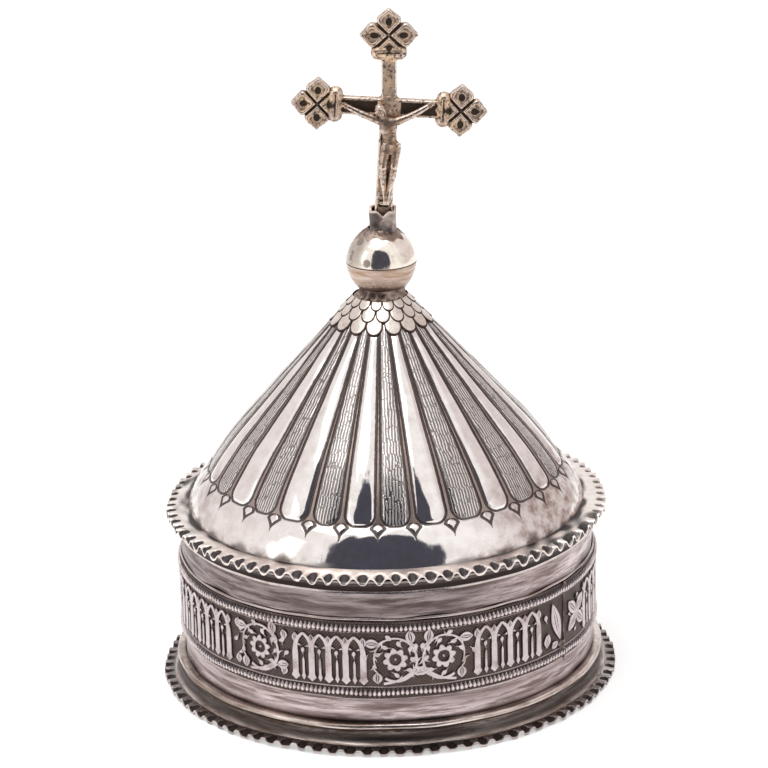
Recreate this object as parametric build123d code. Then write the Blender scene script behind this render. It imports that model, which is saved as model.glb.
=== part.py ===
# A pyx: a round silver box on a crimped foot, with a lift-off conical lid, a knop and a crucifix.
# Millimetres, +Z up, origin under the middle of the foot, front of the object towards -Y.
import os
from math import cos, pi, radians, sin, sqrt, tan

from build123d import *

# Joints between soldered pieces
solder_film = 0.05

# Box wall
bore_r = 48.7
wall_t = 0.9
wall_r = bore_r + wall_t

# Base plate with its crimped rim
plate_t = 0.6
plate_projection = 5.4
plate_crimp_len = 2.2
plate_crimp_drop = 1.25
plate_crimp_rise = 0.25
plate_waves = 88
foot_wear = 0.25

# Foot moulding
foot_h = 4.9
foot_base_projection = 2.9
foot_hollow_projection = 1.4
foot_ridge_projection = 2.1
foot_ridge_h = 1.0

# Wires and frieze strip
lower_plain_h = 5.5
edge_wire_d = 0.8
milled_wire_d = 1.7
wire_gap = 0.6
frieze_h = 12.9
strip_t = 0.45
seam_angle = 55.0
seam_w = 1.4
seam_t = 0.25
upper_plain_h = 6.2

# Mouth lip
lip_h = 3.6
lip_projection = 1.7
lip_foot_projection = 0.7
lip_edge_h = 0.7

# Lid flange with its crimped rim
flange_t = 0.5
flange_overhang = 1.45
flange_crimp_len = 2.35
flange_crimp_drop = 1.6
flange_crimp_rise = 0.3
flange_waves = 84
lid_clearance = 0.15

# Lid bezel
bezel_clearance = 0.2
bezel_t = 0.7
bezel_drop = 7.0

# Lid cone, measured from the top of the flange
cone_inset = 1.1
cone_wall = 1.2
shoulder_h = 8.6
shoulder_run = 5.4
shoulder_swell = 0.7
bulge_h = 12.4
bulge_run = 9.2
straight_h = 29.8
cone_top_r = 6.3
tongues = 32
tongue_phase = 3.0
groove_r = 0.42
tongue_foot_groove_r = 0.45

# Neck collar and knop
collar_r = 5.7
collar_h = 2.27
knop_r = 8.3
knop_t = 0.8
finial_offset = 0.45

# Cross socket, set a little to the right of the middle of the knop
socket_offset = 0.65
socket_margin = 0.3
socket_r = 3.25
socket_t = 0.6
socket_floor_t = 0.8
socket_h = 5.97
notch_w = 2.6
notch_h = 1.6

# Cross
cross_lean = 4.5
upper_bend = 3.3
shaft_w = 4.1
shaft_t = 2.4
upper_shaft_w = 3.5
arm_h = 4.2
cross_stem_h = 27.42
bend_h = 2.0
cross_collar_gap = 2.35
cross_collar_len = 3.5
cross_collar_w = 8.4
cross_collar_t = 3.4
terminal_centre = 16.65
top_terminal_centre = 17.0
lobe_len = 6.3
lobe_w = 5.7
lobe_t = 2.6
lobe_cut_w = 0.6
lobe_pit_r = 0.75

# Tang, its washer and its peened end
tang_r = 1.15
tang_clearance = 0.12
washer_t = 1.0
washer_r = 6.3
washer_clearance = 0.1
peen_r = 2.1
peen_h = 0.9

# Figure and its pins
figure_scale = 1.0
pin_r = 0.3
pin_head_r = 0.55
pin_head_h = 0.3
pin_clearance = 0.03

# Heights from the table up
plate_z = plate_crimp_drop - foot_wear
floor_z = plate_z + plate_t
foot_top_z = floor_z + foot_h
lower_edge_z = foot_top_z + lower_plain_h
strip_z = lower_edge_z + edge_wire_d
lower_milled_z = strip_z + wire_gap
frieze_z = lower_milled_z + milled_wire_d + wire_gap
upper_milled_z = frieze_z + frieze_h + wire_gap
strip_top_z = upper_milled_z + milled_wire_d + wire_gap
lip_z = strip_top_z + edge_wire_d + upper_plain_h
mouth_z = lip_z + lip_h

# Radii on the outside of the box
plate_r = wall_r + plate_projection
strip_r = wall_r + solder_film + strip_t
lip_r = wall_r + lip_projection

# Lid, seated with its crimped rim just over the lip
flange_rim_r = lip_r + flange_overhang
flange_flat_r = flange_rim_r - flange_crimp_len
drop_at_lip = flange_crimp_drop * (lip_r - flange_flat_r) / flange_crimp_len
flange_z = mouth_z + drop_at_lip + lid_clearance
flange_top_z = flange_z + flange_t
bezel_r = bore_r - bezel_clearance
cone_foot_r = bore_r - cone_inset
tongue_foot_r = cone_foot_r - shoulder_run
tongue_foot_z = flange_top_z + shoulder_h
bulge_top_r = tongue_foot_r - bulge_run
bulge_top_z = tongue_foot_z + bulge_h
cone_top_z = bulge_top_z + straight_h
cone_slope = (bulge_top_r - cone_top_r) / straight_h

# Finial
collar_top_z = cone_top_z + collar_h
knop_z = collar_top_z + sqrt(knop_r**2 - collar_r**2)
knop_seat_r = socket_r + socket_offset + socket_margin
socket_z = knop_z + sqrt(knop_r**2 - knop_seat_r**2)
shaft_foot_z = socket_z + socket_floor_t
bend_z = shaft_foot_z + bend_h
tang_bore_r = tang_r + tang_clearance
tang_x = finial_offset + socket_offset


def ring(points):
    """Solid of revolution about Z from radius and height pairs."""
    outline = Polyline(*[(r, 0, z) for r, z in points], close=True)
    return revolve(make_face(outline), Axis.Z)


def tube(outer, inner, z0, z1):
    """Plain upright tube."""
    return ring([(inner, z0), (outer, z0), (outer, z1), (inner, z1)])


def on_circle(radius, degrees, z):
    """Point at an angle round the Z axis."""
    return (radius * cos(radians(degrees)), radius * sin(radians(degrees)), z)


def crimp_edges(radius, z, waves, drop, rise):
    """Closed line of arcs that swings down by drop and up by rise, once for each wave."""
    half = 180 / waves
    edges = []
    for index in range(2 * waves):
        start = (index - 0.5) * half
        middle = z + rise if index % 2 else z - drop
        joint = z + (rise - drop) / 2
        edges.append(Edge.make_three_point_arc(
            on_circle(radius, start, joint),
            on_circle(radius, start + half / 2, middle),
            on_circle(radius, start + half, joint)))
    return edges


def crimped_sheet(rim_r, crimp_len, z, thickness, waves, drop, rise, hole_r=0):
    """Flat sheet disc or ring whose projecting rim is pressed into waves."""
    flat_r = rim_r - crimp_len
    faces = []
    rims = []
    for level in (z, z + thickness):
        flat = crimp_edges(flat_r, level, waves, 0, 0)
        rim = crimp_edges(rim_r, level, waves, drop, rise)
        rims.append(rim)
        holes = [Wire.make_circle(hole_r, Plane.XY.offset(level))] if hole_r else []
        faces.append(Face(Wire(flat), holes))
        for inner, outer in zip(flat, rim):
            faces.append(Face.make_surface_from_curves(inner, outer))
    for lower, upper in zip(*rims):
        faces.append(Face.make_surface_from_curves(lower, upper))
    if hole_r:
        hole = Edge.make_circle(hole_r, Plane.XY.offset(z))
        faces.append(Face.extrude(hole, (0, 0, thickness)))
    return Solid(Shell(faces))


def base_plate():
    """Bottom of the box: its waves stand on the table on small worn flats."""
    sheet = crimped_sheet(plate_r, plate_crimp_len, plate_z, plate_t, plate_waves,
                          plate_crimp_drop, plate_crimp_rise)
    below = Pos(0, 0, -foot_wear) * Cylinder(plate_r * 2, foot_wear * 2)
    return sheet - below


def foot_moulding():
    """Ring on the base plate: a ridge over a hollow that spreads to the plate."""
    inner = wall_r + solder_film
    base = wall_r + foot_base_projection
    hollow = wall_r + foot_hollow_projection
    ridge = wall_r + foot_ridge_projection
    ridge_z = foot_top_z - foot_ridge_h
    hollow_z = (floor_z + ridge_z) / 2
    lines = [
        Line((inner, 0, floor_z), (base, 0, floor_z)),
        ThreePointArc((base, 0, floor_z), (hollow, 0, hollow_z), (ridge, 0, ridge_z)),
        ThreePointArc((ridge, 0, ridge_z),
                      (ridge - foot_ridge_h * 0.2, 0, ridge_z + foot_ridge_h * 0.7),
                      (ridge - foot_ridge_h, 0, foot_top_z)),
        Line((ridge - foot_ridge_h, 0, foot_top_z), (inner, 0, foot_top_z)),
        Line((inner, 0, foot_top_z), (inner, 0, floor_z)),
    ]
    return revolve(make_face(lines), Axis.Z)


def box_wall():
    """Sheet cylinder that stands on the base plate."""
    return tube(wall_r, bore_r, floor_z, mouth_z)


def half_round_wire(seat_r, z0, width):
    """Half-round wire laid round the box."""
    inner = seat_r + solder_film
    lines = [
        Line((inner, 0, z0), (inner, 0, z0 + width)),
        ThreePointArc((inner, 0, z0 + width), (inner + width / 2, 0, z0 + width / 2),
                      (inner, 0, z0)),
    ]
    return revolve(make_face(lines), Axis.Z)


def frieze_band():
    """Strip round the wall with its lapped end standing a little proud."""
    strip = tube(strip_r, wall_r + solder_film, strip_z, strip_top_z)
    lap = Pos(0, 0, frieze_z) * Box(2 * seam_t, seam_w, frieze_h,
                                    align=(Align.CENTER, Align.CENTER, Align.MIN))
    place = Rot(0, 0, seam_angle - 90) * Pos(strip_r, 0, 0)
    return strip + place * lap


def mouth_lip():
    """Moulded ring round the mouth, hollow below and rounded over at the top."""
    inner = wall_r + solder_film
    foot = wall_r + lip_foot_projection
    edge_z = mouth_z - lip_edge_h
    lines = [
        Line((inner, 0, lip_z), (foot, 0, lip_z)),
        ThreePointArc((foot, 0, lip_z),
                      (wall_r + lip_foot_projection * 0.9, 0, (lip_z + edge_z) / 2),
                      (lip_r, 0, edge_z)),
        Line((lip_r, 0, edge_z), (lip_r, 0, mouth_z)),
        Line((lip_r, 0, mouth_z), (inner, 0, mouth_z)),
        Line((inner, 0, mouth_z), (inner, 0, lip_z)),
    ]
    return revolve(make_face(lines), Axis.Z)


def lid_bezel():
    """Plain ring inside the mouth, under the flange."""
    return tube(bezel_r, bezel_r - bezel_t, mouth_z - bezel_drop, flange_z)


def lid_flange():
    """Sheet ring under the cone."""
    return crimped_sheet(flange_rim_r, flange_crimp_len, flange_z, flange_t, flange_waves,
                         flange_crimp_drop, flange_crimp_rise, cone_foot_r - cone_wall)


def cone_curve(shift):
    """Outline of the cone from its foot to its top, moved in by shift."""
    foot = (cone_foot_r - shift, 0, flange_top_z)
    tongue_foot = (tongue_foot_r - shift, 0, tongue_foot_z)
    bulge_top = (bulge_top_r - shift, 0, bulge_top_z)
    top = (cone_top_r - shift, 0, cone_top_z)
    chord = sqrt(shoulder_run**2 + shoulder_h**2)
    middle = (cone_foot_r - shift - shoulder_run / 2 + shoulder_swell * shoulder_h / chord, 0,
              flange_top_z + shoulder_h / 2 + shoulder_swell * shoulder_run / chord)
    shoulder = ThreePointArc(foot, middle, tongue_foot)
    straight = Line(top, bulge_top)
    bulge = TangentArc(bulge_top, tongue_foot, tangent=straight % 1)
    return shoulder, bulge, straight


def lid_cone():
    """Sheet cone with grooves between its tongues."""
    outer = cone_curve(0)
    inner = cone_curve(cone_wall)
    ends = [
        Line(outer[0] @ 0, inner[0] @ 0),
        Line(outer[2] @ 0, inner[2] @ 0),
    ]
    shell = revolve(make_face([*outer, *inner, *ends]), Axis.Z)
    bulge, straight = outer[1], outer[2]
    top = straight @ 0.12
    path = Wire([Edge.make_line(top, straight @ 1), bulge])
    section = Plane(origin=top, z_dir=straight % 0) * Circle(groove_r)
    groove = sweep(section, path=path)
    first = tongue_phase - 90 + 180 / tongues
    grooves = [Rot(0, 0, first + 360 / tongues * index) * groove for index in range(tongues)]
    foot_ring = Pos(0, 0, tongue_foot_z) * Torus(tongue_foot_r, tongue_foot_groove_r)
    return shell - foot_ring - grooves


def tang_bore():
    """Long bore that clears the tang."""
    return Pos(tang_x, 0, cone_top_z) * Cylinder(tang_bore_r, 8 * knop_r)


def tang_washer():
    """Cone-sided washer drawn up inside the top of the lid by the peened tang."""
    top_r = washer_r - washer_t * cone_slope
    contact_z = cone_top_z - (top_r + cone_wall - cone_top_r) / cone_slope
    top_z = contact_z - washer_clearance
    disc = ring([(0, top_z - washer_t), (washer_r, top_z - washer_t), (top_r, top_z), (0, top_z)])
    return disc - tang_bore()


def washer_bottom_z():
    """Underside of the washer, where the tang is peened."""
    top_r = washer_r - washer_t * cone_slope
    return cone_top_z - (top_r + cone_wall - cone_top_r) / cone_slope - washer_clearance - washer_t


def neck_collar():
    """Turned collar between the cone and the knop."""
    disc = Cylinder(collar_r, collar_h, align=(Align.CENTER, Align.CENTER, Align.MIN))
    return Pos(finial_offset, 0, cone_top_z) * disc - tang_bore()


def knop_half(upper):
    """Half of the hollow ball, flat where it meets its neighbour."""
    ball = Pos(0, 0, knop_z) * (Sphere(knop_r) - Sphere(knop_r - knop_t))
    height = 2 * knop_r
    keep = Cylinder(2 * knop_r, height, align=(Align.CENTER, Align.CENTER, Align.MIN))
    if upper:
        floor = Pos(0, 0, socket_z - knop_t) * Cylinder(
            knop_seat_r, knop_t, align=(Align.CENTER, Align.CENTER, Align.MIN))
        half = (ball & Pos(0, 0, knop_z) * keep) - Pos(0, 0, socket_z) * keep + floor
    else:
        half = (ball & Pos(0, 0, knop_z - height) * keep) - Pos(0, 0, collar_top_z - height) * keep
    return Pos(finial_offset, 0, 0) * half - tang_bore()


def cross_socket():
    """Cup with four notches in its rim."""
    top_z = socket_z + socket_h
    cup = ring([(tang_bore_r, socket_z), (socket_r, socket_z), (socket_r, top_z),
                (socket_r - socket_t, top_z), (socket_r - socket_t, shaft_foot_z),
                (tang_bore_r, shaft_foot_z)])
    notch = Polyline((-notch_w / 2, 0, top_z + notch_h / 2), (0, 0, top_z - notch_h),
                     (notch_w / 2, 0, top_z + notch_h / 2), close=True)
    cutter = extrude(make_face(notch), 2 * socket_r, dir=(0, 1, 0), both=True)
    return Pos(tang_x, 0, 0) * (cup - cutter - Rot(0, 0, 90) * cutter)


def lobe():
    """One leaf-shaped lobe of a terminal, its point towards +X."""
    half = lobe_w / 2
    outline = [
        Line((0, 0), (half, half)),
        ThreePointArc((half, half), (lobe_len * 0.66, half * 0.78), (lobe_len * 0.82, half * 0.3)),
        Line((lobe_len * 0.82, half * 0.3), (lobe_len, 0)),
    ]
    outline += [edge.mirror(Plane.XZ) for edge in outline]
    return make_face(outline)


def terminal():
    """Four lobes round a crossing of deep grooves, in the XZ plane."""
    leaves = [Rot(0, 0, 90 * index) * lobe() for index in range(4)]
    plate = extrude(Sketch() + leaves, lobe_t / 2, both=True)
    span = 2 * lobe_len
    for side in (1, -1):
        face_z = side * lobe_t / 2
        for angle in (45, 135):
            bar = Rot(0, 0, angle) * Pos(0, 0, face_z) * Rot(45, 0, 0) * Box(
                span, lobe_cut_w, lobe_cut_w)
            plate -= bar
        for index in range(4):
            place = Rot(0, 0, 90 * index) * Pos(lobe_len * 0.52, 0, face_z)
            plate -= place * Sphere(lobe_pit_r)
    return Rot(90, 0, 0) * plate


def cross_collar():
    """Rounded bar across an arm, beside its terminal, along X."""
    bar = Box(cross_collar_len, cross_collar_t, cross_collar_w)
    return fillet(bar.edges(), cross_collar_len * 0.3)


def lean(shape):
    """Place a shape drawn round the bend of the cross on the leaning cross."""
    return Pos(tang_x, 0, bend_z) * Rot(0, cross_lean, 0) * shape


def upright_cross():
    """Cross above its bend, drawn with the bend at the origin and the front towards -Y."""
    crossing = Pos(0, 0, cross_stem_h)
    top_turn = -90 - upper_bend
    lower = Pos(0, 0, -bend_h) * Box(shaft_w, shaft_t, bend_h + cross_stem_h,
                                     align=(Align.CENTER, Align.CENTER, Align.MIN))
    upper = crossing * Rot(0, top_turn, 0) * Box(
        top_terminal_centre, shaft_t, upper_shaft_w, align=(Align.MIN, Align.CENTER, Align.CENTER))
    arms = crossing * Box(2 * terminal_centre, shaft_t, arm_h)
    body = lower + upper + arms
    collar = Pos(-cross_collar_gap - cross_collar_len / 2, 0, 0) * cross_collar()
    reaches = {0: terminal_centre, top_turn: top_terminal_centre, 180: terminal_centre}
    for turn, reach in reaches.items():
        place = crossing * Rot(0, turn, 0) * Pos(reach, 0, 0)
        body = body + place * terminal() + place * collar
    return body


def figure_joints():
    """Places of the joints of the figure, from the crossing of the arms, X right and Z up."""
    places = {
        "head": (-2.1, -1.9, -0.5),
        "neck": (-0.6, -1.4, -2.6),
        "left_shoulder": (-2.4, -1.1, -2.9),
        "right_shoulder": (2.3, -1.1, -2.8),
        "left_elbow": (-6.2, -0.9, -1.6),
        "right_elbow": (5.4, -0.9, -1.3),
        "left_hand": (-10.0, -0.5, 0.1),
        "right_hand": (9.3, -0.5, 1.2),
        "chest": (0.1, -1.3, -4.6),
        "waist": (0.6, -1.1, -6.7),
        "hips": (1.0, -1.2, -8.6),
        "left_hip": (-0.1, -1.1, -9.2),
        "right_hip": (1.9, -1.1, -9.2),
        "left_knee": (-0.7, -1.9, -13.7),
        "right_knee": (1.7, -1.8, -13.5),
        "left_ankle": (-0.1, -0.8, -19.5),
        "right_ankle": (0.9, -0.9, -19.5),
        "feet": (0.45, -0.9, -21.3),
    }
    front = -shaft_t / 2
    return {name: Vector(x * figure_scale, front + y * figure_scale, z * figure_scale)
            for name, (x, y, z) in places.items()}


def limb(start, start_r, end, end_r):
    """Tapered limb with round ends."""
    run = end - start
    middle = Plane(origin=start, z_dir=run)
    shaft = middle * Cone(start_r * figure_scale, end_r * figure_scale, run.length,
                          align=(Align.CENTER, Align.CENTER, Align.MIN))
    tip = Pos(end) * Sphere(end_r * figure_scale * 1.02)
    return shaft + tip


def drilled(shape, gap):
    """Shape with the three pin holes of the figure drilled through it."""
    for place in pin_places():
        hole = Rot(90, 0, 0) * Cylinder(pin_r + gap, 8 * shaft_t)
        shape -= Pos(place.X, 0, place.Z) * hole
    return shape


def pin_places():
    """Hands and feet, where the pins go through."""
    joints = figure_joints()
    return [joints["left_hand"], joints["right_hand"], joints["feet"]]


def figure():
    """Figure drawn round the crossing of the arms, flat at the back where it meets the cross."""
    joint = figure_joints()
    head = Pos(joint["head"]) * Rot(0, -18, 0) * scale(
        Sphere(figure_scale), (1.25, 1.3, 1.9))
    parts = [
        limb(joint["neck"], 0.75, joint["head"], 0.7),
        limb(joint["chest"], 1.75, joint["waist"], 1.35),
        limb(joint["waist"], 1.35, joint["hips"], 1.7),
        limb(joint["neck"], 1.2, joint["chest"], 1.85),
        limb(joint["left_hip"], 1.3, joint["left_knee"], 0.95),
        limb(joint["right_hip"], 1.3, joint["right_knee"], 0.95),
        limb(joint["left_knee"], 0.9, joint["left_ankle"], 0.6),
        limb(joint["right_knee"], 0.9, joint["right_ankle"], 0.6),
        limb(joint["left_ankle"], 0.6, joint["feet"], 0.75),
        limb(joint["right_ankle"], 0.6, joint["feet"], 0.75),
    ]
    for side in ("left", "right"):
        parts.append(limb(joint["neck"], 0.9, joint[side + "_shoulder"], 0.85))
        parts.append(limb(joint[side + "_shoulder"], 0.85, joint[side + "_elbow"], 0.65))
        parts.append(limb(joint[side + "_elbow"], 0.65, joint[side + "_hand"], 0.6))
    body = head
    for part in parts:
        body = body + part
    back = Pos(0, -shaft_t / 2, 0) * Box(200, 40, 200, align=(Align.CENTER, Align.MIN, Align.CENTER))
    return body - back


def cross():
    """Leaning cross with the holes for the pins, and its tang down through the finial."""
    crossing = Pos(0, 0, cross_stem_h)
    body = lean(crossing * drilled(crossing.inverse() * upright_cross(), pin_clearance))
    washer_z = washer_bottom_z()
    tang = Pos(tang_x, 0, washer_z) * Cylinder(tang_r, bend_z - washer_z,
                                               align=(Align.CENTER, Align.CENTER, Align.MIN))
    peen = ring([(0, washer_z - peen_h), (peen_r * 0.6, washer_z - peen_h),
                 (peen_r, washer_z - peen_h * 0.4), (peen_r, washer_z), (0, washer_z)])
    below = Pos(tang_x, 0, shaft_foot_z) * Cylinder(2 * knop_r, 2 * knop_r,
                                                    align=(Align.CENTER, Align.CENTER, Align.MAX))
    return (body - below) + tang + Pos(tang_x, 0, 0) * peen


def corpus():
    """Cast figure with its pin holes."""
    return lean(Pos(0, 0, cross_stem_h) * drilled(figure(), pin_clearance))


def corpus_rivets():
    """Three headed pins through the figure and the cross."""
    pins = []
    for place in pin_places():
        front = place.Y - 0.75 * figure_scale
        length = shaft_t / 2 - front
        pin = Pos(place.X, front, place.Z) * Rot(-90, 0, 0) * Cylinder(
            pin_r, length, align=(Align.CENTER, Align.CENTER, Align.MIN))
        head = Pos(place.X, front, place.Z) * Rot(90, 0, 0) * Cone(
            pin_head_r, pin_head_r * 0.5, pin_head_h, align=(Align.CENTER, Align.CENTER, Align.MIN))
        pins.append(lean(Pos(0, 0, cross_stem_h) * (pin + head)))
    return Compound(pins)


nodes = {
    "base_plate": base_plate(),
    "foot_moulding": foot_moulding(),
    "box_wall": box_wall(),
    "lower_edge_wire": half_round_wire(wall_r, lower_edge_z, edge_wire_d),
    "lower_milled_wire": half_round_wire(strip_r, lower_milled_z, milled_wire_d),
    "frieze_band": frieze_band(),
    "upper_milled_wire": half_round_wire(strip_r, upper_milled_z, milled_wire_d),
    "upper_edge_wire": half_round_wire(wall_r, strip_top_z, edge_wire_d),
    "mouth_lip": mouth_lip(),
    "lid_bezel": lid_bezel(),
    "lid_flange": lid_flange(),
    "lid_cone": lid_cone(),
    "tang_washer": tang_washer(),
    "neck_collar": neck_collar(),
    "knop_lower": knop_half(False),
    "knop_upper": knop_half(True),
    "cross_socket": cross_socket(),
    "cross": cross(),
    "corpus": corpus(),
    "corpus_rivets": corpus_rivets(),
}

os.makedirs("parts", exist_ok=True)
for name, shape in nodes.items():
    export_step(shape, "parts/" + name + ".step")
    print(name, round(shape.volume, 2), shape.is_valid)
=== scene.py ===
# %% [markdown]
# # A round silver pyx with a pointed lid
#
# The imported model already has every piece of the box at its real size. This lesson dresses it:
# each sheet, wire and casting gets the marks of the hammer, the punch and the years. The model is
# loaded first, because the sizes below are read from it; every piece is placed in metres and rides
# on an empty for one of its bodies.

# %% Load the imported model
from math import asin, atan2, ceil, copysign, cos, dist, hypot, pi, radians, sin, sqrt, tan

import bmesh
import bpy
import numpy as np
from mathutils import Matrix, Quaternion, Vector


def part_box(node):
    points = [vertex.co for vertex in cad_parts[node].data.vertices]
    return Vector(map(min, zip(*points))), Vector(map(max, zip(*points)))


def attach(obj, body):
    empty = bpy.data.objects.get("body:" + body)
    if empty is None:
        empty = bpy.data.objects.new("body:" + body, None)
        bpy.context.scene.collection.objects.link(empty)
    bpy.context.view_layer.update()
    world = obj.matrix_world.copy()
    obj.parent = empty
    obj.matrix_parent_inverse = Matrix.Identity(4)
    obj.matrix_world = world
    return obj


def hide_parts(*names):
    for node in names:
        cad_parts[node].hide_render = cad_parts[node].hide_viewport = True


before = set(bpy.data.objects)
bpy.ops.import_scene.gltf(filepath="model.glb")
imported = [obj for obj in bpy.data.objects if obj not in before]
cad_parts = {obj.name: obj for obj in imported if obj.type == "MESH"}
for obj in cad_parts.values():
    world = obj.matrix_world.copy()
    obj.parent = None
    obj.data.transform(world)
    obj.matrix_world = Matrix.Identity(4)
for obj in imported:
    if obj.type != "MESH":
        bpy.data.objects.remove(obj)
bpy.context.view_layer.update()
scene = bpy.context.scene

# %% [markdown]
# ## Sizes
#
# A silversmith works in millimetres, so the shapes are worked out in millimetres and divided by a
# thousand when a mesh is made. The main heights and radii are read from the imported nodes, so the
# dress can't drift away from the model.

# %% Read the sizes
MM = 0.001
FULL = 2 * pi


def low_mm(node):
    """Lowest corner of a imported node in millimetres."""
    return [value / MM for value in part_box(node)[0]]


def high_mm(node):
    """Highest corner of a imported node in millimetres."""
    return [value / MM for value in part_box(node)[1]]


wall_r = high_mm("box_wall")[0]
mouth_z = high_mm("box_wall")[2]
floor_z = low_mm("box_wall")[2]
strip_z = low_mm("frieze_band")[2]
strip_top_z = high_mm("frieze_band")[2]
flange_top_z = low_mm("lid_cone")[2]
cone_foot_r = high_mm("lid_cone")[0]
cone_top_z = high_mm("lid_cone")[2]
print("wall radius %.2f mm, mouth at %.2f mm, lid top at %.2f mm" % (wall_r, mouth_z, cone_top_z))

# %% [markdown]
# ## Helpers for round work
#
# Nearly everything here is round. Blender could spin each outline with the Screw modifier, but the
# crimps, tongues and beads change the surface at every angle. So each piece is a grid of points,
# one column for each azimuth and one row for each place on the outline, and numpy moves the points.
# Azimuth 0 is the front of the box, and it grows towards the right.

# %% Points and faces
def around(steps):
    """Azimuths once round the box, from the front."""
    return np.linspace(0.0, FULL, steps, endpoint=False)


def on_round(radius, azimuth, height):
    """Points at a radius, an azimuth and a height."""
    radius, azimuth, height = np.broadcast_arrays(radius, azimuth, height)
    return np.stack([radius * np.sin(azimuth), -radius * np.cos(azimuth), height], axis=-1)


def azimuth_of(points):
    """Azimuths of points, 0 at the front and up to half a turn to each side."""
    return np.arctan2(points[:, 0], -points[:, 1])


def grid_faces(columns, rows, loop_columns=True, loop_rows=True):
    """Quads between the points of a grid that is stored column by column."""
    column = np.arange(columns if loop_columns else columns - 1)
    row = np.arange(rows if loop_rows else rows - 1)
    column, row = np.meshgrid(column, row, indexing="ij")
    right = (column + 1) % columns
    above = (row + 1) % rows
    corners = [column * rows + row, right * rows + row, right * rows + above, column * rows + above]
    return np.stack(corners, axis=-1).reshape(-1, 4).tolist()


def capped_faces(columns, rows):
    """Faces of a round grid with a lid over its first row and one over its last."""
    faces = grid_faces(columns, rows, True, False)
    faces.append([rows * step + rows - 1 for step in range(columns)])
    faces.append([rows * step for step in range(columns - 1, -1, -1)])
    return faces


def ripple(azimuth, height, seed, waves, climb, count=24):
    """Slow uneven ripple of about unit size that joins up after a full turn."""
    chance = np.random.default_rng(seed)
    total = 0.0
    for _ in range(count):
        turns = int(chance.integers(1, waves + 1))
        rise = chance.normal(0.0, climb)
        start = chance.uniform(0.0, FULL)
        total = total + np.cos(turns * azimuth + rise * height + start)
    return total / sqrt(count / 2)


def soft_step(value, start, end):
    """0 before start, 1 after end, and a smooth rise between them."""
    part = np.clip((value - start) / (end - start), 0.0, 1.0)
    return part * part * (3 - 2 * part)


# %% [markdown]
# ## From points to pieces
#
# A piece is a mesh that rides on the empty of a body and takes one material as its finish.
# Numbers that a material needs, such as how deep a point lies or how much painted shade it takes,
# are stored with the points. Blender would smooth over every corner, so edges that bend more than
# the crease angle are marked as sharp.
# Ornament of many small shells is collected in a heap first, and becomes one piece.

# %% Pieces
def new_object(name, data):
    """Object in the scene for a mesh, a lamp or a camera."""
    thing = bpy.data.objects.new(name, data)
    scene.collection.objects.link(thing)
    return thing


def store(mesh, label, values):
    """Stores a number or a vector with each point of a mesh."""
    values = np.asarray(values, dtype=np.float32)
    vector = values.ndim == 2
    layer = mesh.attributes.new(label, "FLOAT_VECTOR" if vector else "FLOAT", "POINT")
    layer.data.foreach_set("vector" if vector else "value", values.ravel())


def face_outwards(mesh):
    """Turns the faces of every closed shell of a mesh outwards."""
    shells = bmesh.new()
    shells.from_mesh(mesh)
    bmesh.ops.recalc_face_normals(shells, faces=shells.faces)
    shells.to_mesh(mesh)
    shells.free()


def make_piece(name, points, faces, finish, body, nodes, masks, crease=38.0):
    """Mesh piece from points in millimetres, smooth but for its creases, riding on a body."""
    mesh = bpy.data.meshes.new(name)
    mesh.from_pydata((np.asarray(points).reshape(-1, 3) * MM).tolist(), [], faces)
    for label, values in masks.items():
        store(mesh, label, values)
    mesh.materials.append(finish)
    face_outwards(mesh)
    mesh.shade_smooth()
    mesh.set_sharp_from_angle(angle=radians(crease))
    piece = new_object(name, mesh)
    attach(piece, body)
    if nodes:
        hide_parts(*nodes)
    print("%s: %d points, %d faces" % (name, len(mesh.vertices), len(mesh.polygons)))
    return piece


class Heap:
    """Closed shells that are collected for one piece, with a hollow value for each point."""

    def __init__(self):
        self.points = []
        self.faces = []
        self.dark = []
        self.count = 0

    def add(self, points, faces, dark):
        """Adds a shell."""
        self.points.append(points.reshape(-1, 3))
        self.faces += [[self.count + corner for corner in face] for face in faces]
        self.dark.append(np.ravel(dark))
        self.count += len(self.points[-1])

    def make(self, name, finish, body, crease=38.0):
        """Piece of all the shells."""
        masks = {"hollow": np.concatenate(self.dark)}
        return make_piece(name, np.vstack(self.points), self.faces, finish, body, (), masks, crease)


# %% [markdown]
# ## Outlines
#
# An outline is a list of radius and height pairs, up the outside, over the top and down the inside,
# so that the faces look outwards. Long runs get extra points, because a dent needs points to bend.
# Complex numbers make short work of an arc: a turn about its centre is one multiplication.

# %% Outlines and turned rings
def arc(start, middle, end, steps):
    """Points on the arc through three places, both ends included."""
    first, second, third = complex(*start), complex(*middle), complex(*end)
    ratio = (third - first) / (second - first)
    centre = first + (second - first) * (ratio - abs(ratio) ** 2) / (2j * ratio.imag)
    sweep = np.angle((second - centre) / (first - centre)) + np.angle((third - centre) / (second - centre))
    places = centre + (first - centre) * np.exp(1j * sweep * np.linspace(0.0, 1.0, steps))
    return list(zip(places.real, places.imag))


def fine(outline, longest):
    """Outline with every side cut into runs no longer than this, closed at the end."""
    result = []
    for (r0, z0), (r1, z1) in zip(outline, outline[1:] + outline[:1]):
        cuts = max(1, ceil(hypot(r1 - r0, z1 - z0) / longest))
        for cut in range(cuts):
            part = cut / cuts
            result.append((r0 + (r1 - r0) * part, z0 + (z1 - z0) * part))
    return result


def turned(outline, steps, unevenness):
    """Points and faces of a closed outline turned about the axis, with its wobble added."""
    profile = np.asarray(outline)
    azimuth = around(steps)[:, None]
    radius = np.repeat(profile[None, :, 0], steps, axis=0)
    height = np.repeat(profile[None, :, 1], steps, axis=0)
    more_r, more_z = unevenness(azimuth, radius, height)
    points = on_round(radius + more_r, azimuth, height + more_z)
    return points.reshape(-1, 3), grid_faces(steps, len(profile))


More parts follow.
